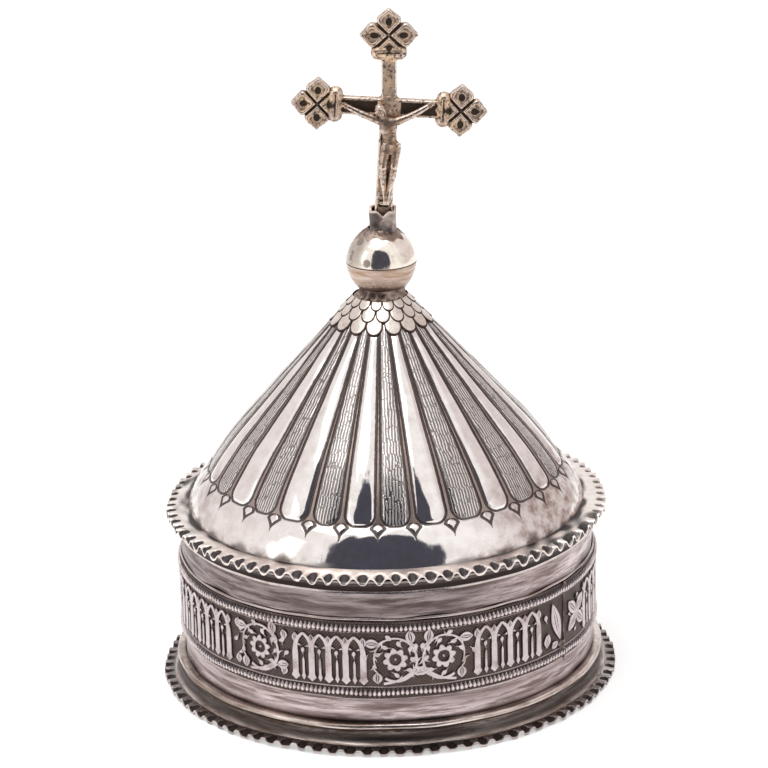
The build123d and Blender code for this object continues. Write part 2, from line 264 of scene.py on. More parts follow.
# %% [markdown]
# ## Camera
#
# The photograph was taken from the front, a little above, with a long lens. A long lens keeps the
# rims nearly parallel, so the camera stands well back and its focal length is set to match the
# width of the box in the picture. The picture leans a degree and a half, and so does the camera.

# %% Camera
aim_x_mm = 0.302
aim_z_mm = 71.75
distance_mm = 762.5
camera_height = radians(18.705)
camera_roll = radians(-1.54)

camera_data = bpy.data.cameras.new("studio_camera")
camera_data.lens = 150.0
camera_data.sensor_width = 36.0
camera_data.clip_start = 0.01
camera_data.clip_end = 20.0
camera = new_object("studio_camera", camera_data)
camera.location = (
    aim_x_mm * MM,
    -distance_mm * MM * cos(camera_height),
    aim_z_mm * MM + distance_mm * MM * sin(camera_height))
camera.rotation_mode = "QUATERNION"
turn_up = pi / 2 - camera_height
camera.rotation_quaternion = Quaternion((1, 0, 0), turn_up) @ Quaternion((0, 0, 1), camera_roll)
scene.camera = camera
print("camera at", [round(value, 4) for value in camera.location])

# %% [markdown]
# ## Sums with nodes
#
# Materials are trees of nodes, and most of the nodes only do sums. Adding each Math node by hand
# would bury the recipe, so what a node puts out is wrapped in a small class. Python then lets the
# usual signs stand for the nodes: a plus sign adds an Add node and joins it up.

# %% Values that flow between nodes
class Value:
    """What a node puts out. A sum with it adds a Math node to the same tree."""

    def __init__(self, socket):
        self.socket = socket
        self.tree = socket.id_data

    def maths(self, operation, first, second=0.0):
        """What a Math node puts out."""
        return Value(put(self.tree, "ShaderNodeMath", {0: first, 1: second}, operation=operation).outputs[0])

    def __add__(self, other):
        return self.maths("ADD", self, other)

    def __sub__(self, other):
        return self.maths("SUBTRACT", self, other)

    def __rsub__(self, other):
        return self.maths("SUBTRACT", other, self)

    def __mul__(self, other):
        return self.maths("MULTIPLY", self, other)

    def __truediv__(self, other):
        return self.maths("DIVIDE", self, other)

    def __rtruediv__(self, other):
        return self.maths("DIVIDE", other, self)

    def __abs__(self):
        return self.maths("ABSOLUTE", self)

    def most(self, other):
        """The larger of two values."""
        return self.maths("MAXIMUM", self, other)

    def whole(self):
        """Whole part."""
        return self.maths("FLOOR", self)

    def rest(self):
        """What is left after the whole part."""
        return self.maths("FRACT", self)

    __radd__ = __add__
    __rmul__ = __mul__


def fill(socket, value):
    """Joins a value to a socket, or sets the socket to a plain number, vector or colour."""
    if isinstance(value, Value):
        value.tree.links.new(value.socket, socket)
    else:
        socket.default_value = value


def put(tree, kind, inputs=None, **settings):
    """Adds a node, sets it, and joins or fills its input sockets."""
    node = tree.nodes.new(kind)
    for key, value in settings.items():
        setattr(node, key, value)
    for key, value in (inputs or {}).items():
        fill(node.inputs[key], value)
    return node


def outputs_of(node):
    """All that a node puts out, by name."""
    return {socket.name: Value(socket) for socket in node.outputs}


# %% [markdown]
# ## Parts of a recipe
#
# A few kinds of node turn up in every finish: cloudy noise, a smooth change between two values, a mix
# of two colours, relief, and a value that is read from the points of the mesh. One short function for
# each keeps the recipes below as plain as a list of steps.

# %% Noise, fades, tints and relief
def noise(place, scale, detail, roughness=0.5, distortion=0.0):
    """Cloudy pattern from 0 to 1."""
    inputs = {"Vector": place, "Scale": scale, "Detail": detail, "Roughness": roughness,
              "Distortion": distortion}
    return Value(put(place.tree, "ShaderNodeTexNoise", inputs).outputs["Fac"])


def fade(value, start, end, low=0.0, high=1.0):
    """Smooth change from low to high while value goes from start to end."""
    inputs = {"Value": value, "From Min": start, "From Max": end, "To Min": low, "To Max": high}
    node = put(value.tree, "ShaderNodeMapRange", inputs, interpolation_type="SMOOTHSTEP")
    return Value(node.outputs["Result"])


def tint(amount, first, second):
    """Colour that goes from first to second with amount."""
    node = put(amount.tree, "ShaderNodeMix", {0: amount, 6: first, 7: second}, data_type="RGBA")
    return Value(node.outputs[2])


def colour(red, green, blue):
    """Linear colour from the numbers that a picture editor shows, 0 to 255."""
    parts = []
    for value in (red, green, blue):
        share = value / 255
        parts.append(share / 12.92 if share <= 0.04045 else ((share + 0.055) / 1.055) ** 2.4)
    return (*parts, 1.0)


def stretched(place, stretch):
    """Place with each of its three parts multiplied."""
    node = put(place.tree, "ShaderNodeVectorMath", {0: place, 1: stretch}, operation="MULTIPLY")
    return Value(node.outputs[0])


def place_mm(tree):
    """Places on the piece in millimetres."""
    return stretched(Value(put(tree, "ShaderNodeTexCoord").outputs["Object"]), (1 / MM, 1 / MM, 1 / MM))


def read(tree, label, output="Fac"):
    """A value that was stored with the points of the mesh."""
    return Value(put(tree, "ShaderNodeAttribute", attribute_name=label).outputs[output])


def parts_of(vector):
    """The three parts of a vector."""
    return [Value(socket) for socket in put(vector.tree, "ShaderNodeSeparateXYZ", {0: vector}).outputs]


def bump(height, depth_mm, below=None):
    """Fine relief of this depth, on top of the relief below it."""
    inputs = {"Height": height, "Strength": 1.0, "Distance": depth_mm * MM}
    if below:
        inputs["Normal"] = below
    return Value(put(height.tree, "ShaderNodeBump", inputs).outputs[0])


# %% [markdown]
# ## Materials and groups
#
# Every metal here ends in the same shader, the Principled BSDF with full Metallic, so one function
# joins colour, roughness and relief to it. A node group is a small tree with named sockets, which
# any material can hold.

# %% New finishes and groups
def new_finish(name):
    """Material with an empty node tree."""
    finish = bpy.data.materials.new(name)
    finish.use_nodes = True
    finish.node_tree.nodes.clear()
    return finish, finish.node_tree


def show(shader, output="ShaderNodeOutputMaterial"):
    """Joins a shader to the output of its tree."""
    put(shader.id_data, output, {"Surface": Value(shader.outputs[0])})


def show_metal(skin, gloss, relief):
    """Metal of this colour, roughness and relief."""
    inputs = {"Base Color": skin, "Metallic": 1.0, "Roughness": gloss, "Normal": relief}
    show(put(skin.tree, "ShaderNodeBsdfPrincipled", inputs))


def new_group(name, vectors, numbers, outputs):
    """Empty node group: its tree, the values that go in and the sockets that put out."""
    group = bpy.data.node_groups.new(name, "ShaderNodeTree")
    for label in vectors:
        group.interface.new_socket(label, in_out="INPUT", socket_type="NodeSocketVector")
    for label, start in numbers.items():
        socket = group.interface.new_socket(label, in_out="INPUT", socket_type="NodeSocketFloat")
        socket.default_value = start
    for label in outputs:
        group.interface.new_socket(label, in_out="OUTPUT", socket_type="NodeSocketFloat")
    return group, outputs_of(group.nodes.new("NodeGroupInput")), group.nodes.new("NodeGroupOutput").inputs


def use(tree, group, **inputs):
    """Places a node group and returns all that it puts out."""
    return outputs_of(put(tree, "ShaderNodeGroup", inputs, node_tree=group))


# %% [markdown]
# ## Three effects that all the silver shares
#
# Old silver goes brown in patches where hands and cloths don't reach, it is covered in fine
# scratches that follow the polishing, and sheet that was raised with a hammer has shallow dimples.
# Each effect is a node group with its own inputs, so every finish below can ask for a little or a
# lot of it. They work from places on the piece in millimetres, so the scale is real.

# %% Tarnish, scratches and hammer marks
tarnish, enter, leave = new_group("tarnish", ["Place"], {"Patch": 8.0, "Cover": 0.4}, ["Stain", "Specks"])
clouds = noise(enter["Place"], 1.0 / enter["Patch"], 7.0, 0.62, 0.5)
edge_at = 0.78 - enter["Cover"] * 0.5
fill(leave["Stain"], fade(clouds, edge_at - 0.17, edge_at + 0.17))
fill(leave["Specks"], fade(noise(enter["Place"], 2.6, 4.0, 0.7), 0.58, 0.72))

scratches, enter, leave = new_group("scratches", ["Place", "Stretch"], {}, ["Lines", "Streaks"])
drawn = stretched(enter["Place"], enter["Stretch"])
fill(leave["Lines"], fade(noise(drawn, 3.2, 3.0, 0.75), 0.5, 0.72))
fill(leave["Streaks"], fade(noise(drawn, 0.55, 5.0, 0.65), 0.35, 0.65))

hammered, enter, leave = new_group("hammer_marks", ["Place"], {"Size": 4.0}, ["Height"])
mark_scale = 1.0 / enter["Size"]
dimples = outputs_of(put(hammered, "ShaderNodeTexVoronoi", {
    "Vector": enter["Place"], "Scale": mark_scale, "Smoothness": 0.9}, feature="SMOOTH_F1"))
fill(leave["Height"], dimples["Distance"] * 0.5 + noise(enter["Place"], mark_scale, 2.0))
print("node groups:", [group.name for group in bpy.data.node_groups])

# %% [markdown]
# ## The silver finishes
#
# All finishes come from one recipe with different amounts: bright silver where it is rubbed, a brown
# film in patches, and one dark colour for oxide in the hollows and along punched lines, which is also
# painted shade on some pieces: under sheets, in coves and on the lip below the lid. The mesh stores a
# "hollow" value with each point: 0 on open faces and 1 at the bottom of a cut or in the deepest shade.

# %% Recipe for worn silver
OXIDE_AND_SHADE = (52, 44, 42)


def worn_silver(name, bright, film, oxide_and_shade, cover, patch, stretch=(1, 1, 1), streak=0.3, polish=0.16,
                dull=0.42, mark_size=4.0, mark_depth=0.08, hair_depth=0.008, grime=0.25):
    """Silver with a brown film in patches, and dark oxide and painted shade where its points are marked
    hollow.
    """
    finish, tree = new_finish(name)
    place = place_mm(tree)
    stains = use(tree, tarnish, Place=stretched(place, stretch), Patch=patch, Cover=cover)
    marks = use(tree, scratches, Place=place, Stretch=stretch)
    dents = use(tree, hammered, Place=place, Size=mark_size)
    brown = stains["Stain"].most(marks["Streaks"] * streak)
    # Oxide in real hollows and painted shade on some pieces both come from the hollow values.
    dirt_and_shade = fade(read(tree, "hollow") + stains["Specks"] * grime, 0.15, 0.85)
    skin = tint(dirt_and_shade, tint(brown, colour(*bright), colour(*film)), colour(*oxide_and_shade))
    gloss = fade(brown + dirt_and_shade, 0.0, 1.3, polish, dull) + marks["Lines"] * 0.06
    show_metal(skin, gloss, bump(marks["Lines"], hair_depth, bump(dents["Height"], mark_depth)))
    return finish


# %% [markdown]
# ## One finish for each piece
#
# The pieces were made apart and have aged apart. The wall and the mouldings were rubbed round and
# round, so their stains are drawn out along the box. The knop is bright from the hand, the solder is
# grey and lumpy, and the inside has never been polished.

# %% Finishes of the box and the lid
flange_silver = worn_silver(
    "flange_silver", (247, 237, 231), (196, 174, 164), (74, 68, 68), 0.3, patch=4.0, polish=0.3,
    dull=0.46, grime=0.15)
wall_silver = worn_silver(
    "wall_silver", (220, 204, 204), (120, 102, 98), OXIDE_AND_SHADE, 0.5, patch=5.0, stretch=(0.13, 0.13, 1.5),
    streak=1.0, polish=0.22, dull=0.4, grime=0.35, mark_depth=0.04)
foot_silver = worn_silver(
    "foot_silver", (214, 203, 200), (108, 97, 95), OXIDE_AND_SHADE, 0.4, patch=5.0, stretch=(0.3, 0.3, 2.0),
    streak=0.6, polish=0.2)
moulding_silver = worn_silver(
    "moulding_silver", (236, 223, 216), (120, 99, 85), OXIDE_AND_SHADE, 0.45, patch=4.0,
    stretch=(0.14, 0.14, 1.8), streak=0.9, polish=0.14, dull=0.36, mark_depth=0.04)
wire_silver = worn_silver("wire_silver", (224, 212, 207), (150, 128, 120), OXIDE_AND_SHADE, 0.3, patch=5.0)
edge_silver = worn_silver(
    "edge_wire_silver", (198, 184, 181), (134, 116, 110), OXIDE_AND_SHADE, 0.4, patch=4.0, stretch=(0.3, 0.3, 1),
    polish=0.25)
knop_bright = worn_silver(
    "knop_bright_silver", (254, 245, 234), (196, 170, 152), (92, 70, 60), 0.26, patch=3.5, polish=0.07,
    mark_size=3.0, mark_depth=0.012, hair_depth=0.002)
knop_dull = worn_silver(
    "knop_dull_silver", (208, 190, 182), (160, 128, 98), OXIDE_AND_SHADE, 0.42, patch=4.0,
    stretch=(0.25, 0.25, 2.4), streak=0.6, polish=0.2)
solder_grey = worn_silver(
    "solder_grey", (186, 167, 157), (128, 107, 94), OXIDE_AND_SHADE, 0.6, patch=2.2, polish=0.42, dull=0.6,
    mark_size=1.0)
inner_silver = worn_silver(
    "inner_silver", (205, 190, 176), (140, 118, 100), OXIDE_AND_SHADE, 0.5, patch=12.0, stretch=(0.3, 0.3, 2.0),
    streak=0.5, polish=0.3, dull=0.5)
print("finishes so far:", [finish.name for finish in bpy.data.materials])

# %% [markdown]
# ## Crimped sheets
#
# The bottom of the box and the flange of the lid are flat sheets whose rims were pressed into waves
# with a crimping tool, one wave at a time, so no two are quite the same. A sine wave would look like
# a machine made it. Each wave gets its own depth and width from a seeded random list, and the waves
# fade out towards the flat sheet.

# %% Crimped sheets
PER_WAVE = 16


def crimped(inner_r, flat_r, rim_r, z, thickness, waves, drop, rise, square, seed):
    """Flat sheet with a crimped rim: points, faces and a value for each point that paints shade in the
    valleys and under the sheet.
    """
    chance = np.random.default_rng(seed)
    azimuth = around(waves * PER_WAVE)
    wave = azimuth / FULL * waves
    index = np.floor(wave).astype(int) % waves
    part = wave - np.floor(wave)
    blend = soft_step(part, 0.0, 1.0)

    def mixed(low, high):
        """Random values, one for each wave, blended from wave to wave."""
        values = chance.uniform(low, high, waves)
        return values[index] * (1 - blend) + values[(index + 1) % waves] * blend

    turn = np.cos(FULL * (part + mixed(-0.12, 0.12) * np.sin(pi * part)))
    sunk = 0.5 - 0.5 * turn
    sunk = sunk + square * (soft_step(sunk, 0.04, 0.74) - sunk)
    bowl = (sunk ** mixed(0.7, 1.25))[:, None]
    reach = np.array([0.0, 0.12, 0.25, 0.4, 0.55, 0.7, 0.85, 0.95, 1.0])
    ramp = np.append(np.zeros(3), reach)
    inwards = 1 - ramp
    lower = mixed(0.75, 1.08)[:, None] * drop
    upper = mixed(0.2, 1.0)[:, None] * rise
    wavy = upper - (upper + lower) * np.clip((bowl - 0.5 * inwards ** 1.5) / 0.98, 0.0, 1.0)
    flat = inner_r + (flat_r - inner_r) * np.arange(3) / 3
    radii = np.append(flat, flat_r + (rim_r - flat_r) * reach)
    wander = 0.12 * ripple(azimuth, 0.0, seed + 1, 60, 0.0)[:, None] * ramp
    warp = 0.1 * ripple(azimuth, 0.0, seed + 2, 9, 0.0)[:, None] * soft_step(radii, inner_r, rim_r)
    low_z = z + warp + ramp * wavy
    under = on_round(radii + wander, azimuth[:, None], low_z)
    top = on_round(radii + wander, azimuth[:, None], low_z + thickness)[:, ::-1]
    points = np.concatenate([under, top], axis=1)
    # Painted shade and dark reflection in the valleys of the waves, darkest at their inner ends.
    deep = soft_step(bowl - 0.22 - 0.75 * inwards ** 1.9, 0.0, 0.16) * (inwards < 1)
    deep *= 0.7 + 0.3 * soft_step(inwards, 0.05, 0.4)
    deep[:, -1] = 0.0
    # Painted shade on the underside of the sheet, all but its outer edge.
    below = np.where(ramp < 1.0, 0.85, 0.0) * np.ones_like(deep)
    masks = np.concatenate([below, deep[:, ::-1]], axis=1)
    return points.reshape(-1, 3), grid_faces(len(azimuth), points.shape[1]), masks.ravel()


# %% [markdown]
# ## Base plate
#
# The plate closes the bottom, so the hole in the middle of its grid is closed with thin triangles.
# Its waves stand on the table and can't go through it. Painted shade darkens the plate, least at the
# right of the front, but the cut edge of the rim is left bright all round.

# %% Base plate
plate_r = wall_r + 5.4
plate_low = 1.0
plate_t = 0.6
plate_waves = 88
points, faces, deep = crimped(
    0.6, plate_r - 2.2, plate_r, plate_low, plate_t, plate_waves, drop=1.0, rise=0.2, square=0.8, seed=5)
points[:, 2] = np.maximum(points[:, 2], 0.0)
hub = len(points)
columns = plate_waves * PER_WAVE
rows = hub // columns
on_rim = np.isin(np.arange(hub) % rows, [rows // 2 - 1, rows // 2])
# Painted shade over the whole plate, fading out at the right of the front, and none on the rim rows.
shade = 0.48 - 0.46 * soft_step(azimuth_of(points), 0.4, 0.9)
deep = np.where(on_rim, 0.0, np.maximum(deep, shade))
points = np.vstack([points, [[0.0, 0.0, plate_low], [0.0, 0.0, plate_low + plate_t]]])
faces = [face for face in faces if face[0] % rows != rows - 1]
for column in range(columns):
    after = (column + 1) % columns
    faces.append([hub, after * rows, column * rows])
    faces.append([hub + 1, column * rows + rows - 1, after * rows + rows - 1])
make_piece("base_plate_dressed", points, faces, foot_silver, "box",
           ["base_plate"], {"hollow": np.append(deep, [0.2, 0.2])}, crease=60)

# %% [markdown]
# ## Foot moulding
#
# The foot, the lip and the wires are drawn and bent strips, soldered to the wall. They are turned
# outlines with a slight wobble, because a strip that is laid by hand is never quite straight. The
# corners that meet another piece hold dirt and solder, so their points get a hollow value there.

# %% Turned rings and the foot moulding
def hand_laid(seed, radial, upright, waves=22):
    """Wobble for a strip that was bent and soldered by hand."""
    def wobble(azimuth, radius, height):
        sideways = radial * ripple(azimuth, height, seed, waves, 0.3)
        along = upright * ripple(azimuth, 0.0, seed + 1, waves, 0.0)
        return sideways, along * np.ones_like(height)
    return wobble


def ring_piece(name, outline, finish, node, hollow_at, wobble, soot=None, steps=320, body="box",
               shift=0.0):
    """Turned ring that is dark where hollow_at or soot says so, moved sideways to its own axis."""
    points, faces = turned(outline, steps, wobble)
    radius = np.hypot(points[:, 0], points[:, 1])
    hollow = hollow_at(radius, points[:, 2])
    if soot:
        hollow = np.maximum(hollow, soot(azimuth_of(points), radius, points[:, 2]))
    points[:, 0] += shift
    return make_piece(name, points, faces, finish, body, [node], {"hollow": hollow})


def foot_hollow(radius, height):
    """Painted shade in the cove below the ridge, and dark in the corner above it where it meets the wall."""
    # Painted shade in the cove under the ridge.
    scoop = 1 - soft_step(np.abs(height - (floor_z + 1.5)), 0.6, 2.2)
    corner = 1 - soft_step(radius - wall_r, 0.1, 1.0)
    return np.maximum(scoop * 0.7, corner * 0.6)


foot_top_z = high_mm("foot_moulding")[2]
seat_r = wall_r + 0.05
ridge_r = wall_r + 2.1
ridge_z = foot_top_z - 1.0
foot_outline = arc((wall_r + 2.9, floor_z), (wall_r + 1.4, (floor_z + ridge_z) / 2), (ridge_r, ridge_z), 14)
foot_outline += arc((ridge_r, ridge_z), (ridge_r - 0.2, ridge_z + 0.7), (ridge_r - 1.0, foot_top_z), 7)
foot_outline += [(seat_r + 0.3, foot_top_z), (seat_r, foot_top_z), (seat_r, floor_z)]
ring_piece("foot_moulding_dressed", fine(foot_outline, 1.2), moulding_silver,
           "foot_moulding", foot_hollow, hand_laid(11, 0.06, 0.05))

# %% [markdown]
# ## Wall
#
# The wall is a sheet, bent round and soldered. Bump nodes could fake its shallow dents, but not along
# its outline, so here the points move. The dents fade out at the floor and at the mouth, where other
# pieces hold the wall round. Dirt lies beside each strip on it, and a brown film covers it above the
# frieze, thinner on the right.

# %% Wall
bore_r = wall_r - 0.9


def wall_hollow(radius, height):
    """Dark beside each strip that is soldered to the wall."""
    dark = np.zeros_like(height)
    for line in (foot_top_z, strip_z - 0.8, strip_top_z + 0.8, mouth_z - 3.6):
        dark = np.maximum(dark, 1 - soft_step(np.abs(height - line), 0.1, 0.9))
    return dark * 0.8 * (radius > bore_r + 0.3)


def wall_dents(azimuth, radius, height):
    """Shallow dents of a wall that was bent round by hand."""
    inside = soft_step(height, floor_z, floor_z + 3) * soft_step(mouth_z - height, 0.0, 3.0)
    return 0.1 * ripple(azimuth, height, 21, 26, 0.25) * inside, 0.0


def wall_soot(turn, radius, height):
    """Brown film on the wall above the frieze, thinner on the right."""
    above = soft_step(height, strip_top_z + 0.4, strip_top_z + 1.2) * (radius > bore_r + 0.3)
    return 0.5 * above * (1 - 0.75 * soft_step(turn, 0.35, 0.9))


wall_outline = [(wall_r, floor_z), (wall_r, mouth_z), (bore_r, mouth_z), (bore_r, floor_z)]
ring_piece("box_wall_dressed", fine(wall_outline, 1.6), wall_silver, "box_wall", wall_hollow,
           wall_dents, wall_soot)

# %% [markdown]
# ## Lip, edge wires and bezel
#
# The lid sits on a hollow lip round the mouth. Half-round wires hide the edges of the frieze strip.
# The bezel is a plain ring under the lid, which drops into the mouth and keeps the lid central. Curves
# with a bevel could draw such rings, but turned outlines get their wobble and dirt just as the foot did.

# %% Lip, edge wires and bezel
lip_z = low_mm("mouth_lip")[2]
lip_r = high_mm("mouth_lip")[0]
lip_edge_z = mouth_z - 0.7


def lip_flange_shadow(radius, height):
    """Painted shadow of the lid flange, darkest low in the cove of the lip, above a bright lower edge."""
    rise = soft_step(height, lip_z + 0.3, lip_z + 0.6)
    return rise * (0.95 - 0.4 * soft_step(height, lip_z + 0.7, mouth_z - 0.6))


lip_outline = [(seat_r, lip_z)]
lip_outline += arc((wall_r + 0.7, lip_z), (wall_r + 0.63, (lip_z + lip_edge_z) / 2), (lip_r, lip_edge_z), 9)
lip_outline += [(lip_r, mouth_z - 0.15), (lip_r - 0.15, mouth_z), (seat_r, mouth_z)]
ring_piece("mouth_lip_dressed", fine(lip_outline, 0.4), wire_silver, "mouth_lip",
           lip_flange_shadow, hand_laid(31, 0.05, 0.04))

wire_w = 0.8


def wire_outline(z):
    """Half-round wire against the wall."""
    angles = np.linspace(-pi / 2 * 0.98, pi / 2 * 0.98, 9)
    half = wire_w / 2
    bend = [(seat_r + half * cos(angle), z + half + half * sin(angle)) for angle in angles]
    return [(seat_r, z), *bend, (seat_r, z + wire_w)]


def wire_hollow(radius, height):
    """Dark where the wire meets the wall."""
    return 1 - soft_step(radius - wall_r, 0.08, wire_w * 0.42)


for label, z, seed in (("lower_edge_wire", strip_z - wire_w, 67), ("upper_edge_wire", strip_top_z, 87)):
    ring_piece(label + "_dressed", wire_outline(z), edge_silver, label, wire_hollow,
               hand_laid(seed, 0.05, 0.06, 34))

bezel_z = low_mm("lid_bezel")[2]
bezel_r, _, bezel_top_z = high_mm("lid_bezel")
bezel_outline = [(bezel_r - 0.12, bezel_z), (bezel_r, bezel_z + 0.12), (bezel_r, bezel_top_z),
                 (bezel_r - 0.7, bezel_top_z), (bezel_r - 0.7, bezel_z)]
ring_piece("lid_bezel_dressed", fine(bezel_outline, 1.2), inner_silver, "lid_bezel",
           lambda radius, height: 0.6 * soft_step(height, bezel_top_z - 1.2, bezel_top_z),
           hand_laid(51, 0.02, 0.0), body="bezel")

# %% [markdown]
# ## Lid flange
#
# The lid stands on a flat ring of sheet with the same crimped rim as the foot, but bolder: its waves
# catch the light on a bright cut edge, and the valleys get painted shade and dark reflection. The joint
# with the cone above is a brown line of solder, so the points near it are marked as hollow too.

# %% Lid flange
flange_rim_r = high_mm("lid_flange")[0]
flange_t = 0.5
flange_waves = 84
points, faces, deep = crimped(
    cone_foot_r - 1.2, flange_rim_r - 2.3, flange_rim_r, flange_top_z - flange_t, flange_t,
    flange_waves, drop=1.6, rise=0.12, square=0.38, seed=7)
from_axis = np.hypot(points[:, 0], points[:, 1])
turn = azimuth_of(points)
joint_line = 1 - soft_step(np.abs(from_axis - cone_foot_r - 0.1), 0.2, 0.9)
joint_line *= (0.85 + 0.35 * ripple(turn, 0.0, 8, 40, 0.0)) * soft_step(np.abs(turn), 0.1, 0.45)
film = 0.6 * soft_step(turn, 0.3, 0.6) * (1 - soft_step(turn, 1.1, 1.5))
film += 0.42 * soft_step(-turn, 0.8, 1.2)
film *= (0.8 + 0.4 * ripple(turn, from_axis, 9, 50, 1.4)) * (from_axis < flange_rim_r - 0.25)
# The valleys get less painted shade towards the right.
deep *= 1 - 0.35 * soft_step(turn, 0.6, 1.0)
make_piece("lid_flange_dressed", points, faces, flange_silver, "lid", ["lid_flange"],
           {"hollow": np.maximum(np.maximum(deep, film), joint_line * 0.85)}, crease=60)

# %% [markdown]
# ## Outline of the cone
#
# The cone was raised from one sheet. Its outline has a swelling shoulder, a long slow curve and a
# straight run to the top. The curve has to run smoothly into the straight, so the height of its arc
# is worked out from the angle between its chord and the straight.

# %% Outline of the cone
shoulder_w = 5.4
shoulder_h = 8.6
shoulder_swell = 0.7
bulge_w = 9.2
bulge_h = 12.4
tongue_foot = (cone_foot_r - shoulder_w, flange_top_z + shoulder_h)
bulge_top = (tongue_foot[0] - bulge_w, tongue_foot[1] + bulge_h)
cone_tip = (6.3, cone_top_z)
shoulder_chord = hypot(shoulder_w, shoulder_h)
shoulder_middle = ((cone_foot_r + tongue_foot[0]) / 2 + shoulder_swell * shoulder_h / shoulder_chord,
                   (flange_top_z + tongue_foot[1]) / 2 + shoulder_swell * shoulder_w / shoulder_chord)
slope = atan2(cone_tip[1] - bulge_top[1], bulge_top[0] - cone_tip[0])
chord = atan2(bulge_h, bulge_w)
arc_rise = hypot(bulge_w, bulge_h) / 2 * tan((chord - slope) / 2)
bulge_middle = ((tongue_foot[0] + bulge_top[0]) / 2 + arc_rise * sin(chord),
                (tongue_foot[1] + bulge_top[1]) / 2 + arc_rise * cos(chord))
arc_steps = 60
cone_outline = arc((cone_foot_r, flange_top_z), shoulder_middle, tongue_foot, arc_steps)[:-1]
cone_outline += arc(tongue_foot, bulge_middle, bulge_top, arc_steps)[:-1]
cone_outline = np.vstack([cone_outline, np.linspace(bulge_top, cone_tip, 90)])
steps_along = np.hypot(*np.diff(cone_outline, axis=0).T)
cone_length = np.append(0.0, np.cumsum(steps_along))
shoulder_len = float(cone_length[arc_steps - 1])
cone_len = float(cone_length[-1])


def on_cone(length):
    """Radius, height and outward direction at a length along the outline of the cone."""
    def at(place):
        return [np.interp(place, cone_length, cone_outline[:, axis]) for axis in (0, 1)]

    radius, height = at(length)
    ahead_r, ahead_z = at(length + 0.4)
    behind_r, behind_z = at(length - 0.4)
    run = np.hypot(ahead_r - behind_r, ahead_z - behind_z)
    return radius, height, (ahead_z - behind_z) / run, (behind_r - ahead_r) / run


print("cone outline %.2f mm long, shoulder %.2f mm" % (cone_len, shoulder_len))

# %% [markdown]
# ## Tongues of the cone
#
# Thirty-two tongues run up the cone, by turns polished and hatched, with matt bands between them and
# a chased line round each. They were set out by eye, so the bands on the front are unevenly spaced.
# A plain grid would cut across their edges. Here each tongue has its own columns, some on the tongue,
# some in the chased line and some on the band, and the rows lie closer together near the rounded ends.

# %% Set out the tongues
front_bands = [-61.2, -48.2, -37.1, -24.6, -14.1, -2.6, 8.5, 20.5, 32.9, 44.0, 56.9, 68.4]
back_tongues = 21
back_step = (360 - (front_bands[-1] - front_bands[0])) / back_tongues
bands = front_bands + [front_bands[-1] + back_step * index for index in range(1, back_tongues)]
bands = np.radians(np.array(bands + [front_bands[0] + 360]))

cone_rows = np.concatenate([
    np.linspace(0.0, 5.4, 9, endpoint=False),
    np.linspace(5.4, shoulder_len, 24, endpoint=False),
    np.linspace(shoulder_len, shoulder_len + 4.0, 17, endpoint=False),
    np.linspace(shoulder_len + 4.0, cone_len, 48)])
row_r, row_z, out_r, out_z = on_cone(cone_rows)
half_gap = 0.45 + (row_r - 14.0) * 0.017
line_w = 0.26 + (row_r - 14.0) * 0.006

azimuths = []
across = []
tongue_half = []
hatched = []
for index in range(len(bands) - 1):
    half_angle = (bands[index + 1] - bands[index]) / 2
    middle = (bands[index + 1] + bands[index]) / 2
    half_pitch = row_r * half_angle
    half_width = half_pitch - half_gap
    side = [half_pitch - (half_gap - line_w) * part / 3 for part in range(3)]
    side += [half_width + line_w * (1 - part / 4) for part in range(4)]
    side += [half_width * (1 - (part / 7) ** 1.25) for part in range(7)]
    for column in [-value for value in side] + [0.0 * half_pitch] + side[:0:-1]:
        azimuths.append(middle + column / row_r)
        across.append(column)
        tongue_half.append(half_width)
        hatched.append(index % 2)
azimuths = np.array(azimuths)
across = np.array(across)
tongue_half = np.array(tongue_half)
hatched = np.array(hatched)[:, None] * np.ones_like(across)
upwards = (cone_rows - shoulder_len)[None, :] * np.ones_like(across)
print("%d tongues on %d columns and %d rows" % (len(bands) - 1, *across.shape))

# %% [markdown]
# ## Edges of the tongues and drops
#
# A small drop with a raised seed hangs under each band. For every point of the grid, the next cell
# works out how far it lies inside the nearest tongue and the nearest drop, below zero outside. With
# these two distances, lines and swellings of any width can follow the edges.

# %% Distances to the edges
corner = np.minimum(0.92 * tongue_half, 2.5)
above_foot = upwards + 0.25 * (1 - np.clip(across / tongue_half, -1, 1) ** 2)
past_side = np.abs(across) - (tongue_half - corner)
past_foot = corner - above_foot
outside = np.hypot(np.maximum(past_side, 0), np.maximum(past_foot, 0))
inside_tongue = corner - outside - np.minimum(np.maximum(past_side, past_foot), 0)

drop_half = 1.75
drop_round = 1.3
from_band = np.abs(np.abs(across) - (tongue_half + half_gap))
below = -upwards + 0.35
round_part = drop_half * np.sqrt(np.clip(1 - ((drop_round - below) / drop_round) ** 2, 0, 1))
point_part = drop_half * np.clip(1 - (below - drop_round) / 3.2, 0, 1) ** 2.0
point_part -= 0.2 * soft_step(below, 2.2, 3.8)
drop_width = np.where(below < drop_round, round_part, point_part)
inside_drop = np.where((below > 0) & (below < 4.5), drop_width - from_band, -1.0)
print("share of the cone on tongues: %.2f" % np.mean(inside_tongue > 0))

# %% [markdown]
# ## Relief of the cone
#
# The polished tongues swell more than the hatched ones, the chased lines are sunk, and the whole sheet
# has slow dents. All of that moves the points of the grid outwards or inwards. A lining of eight more
# rows down the inside closes the sheet.

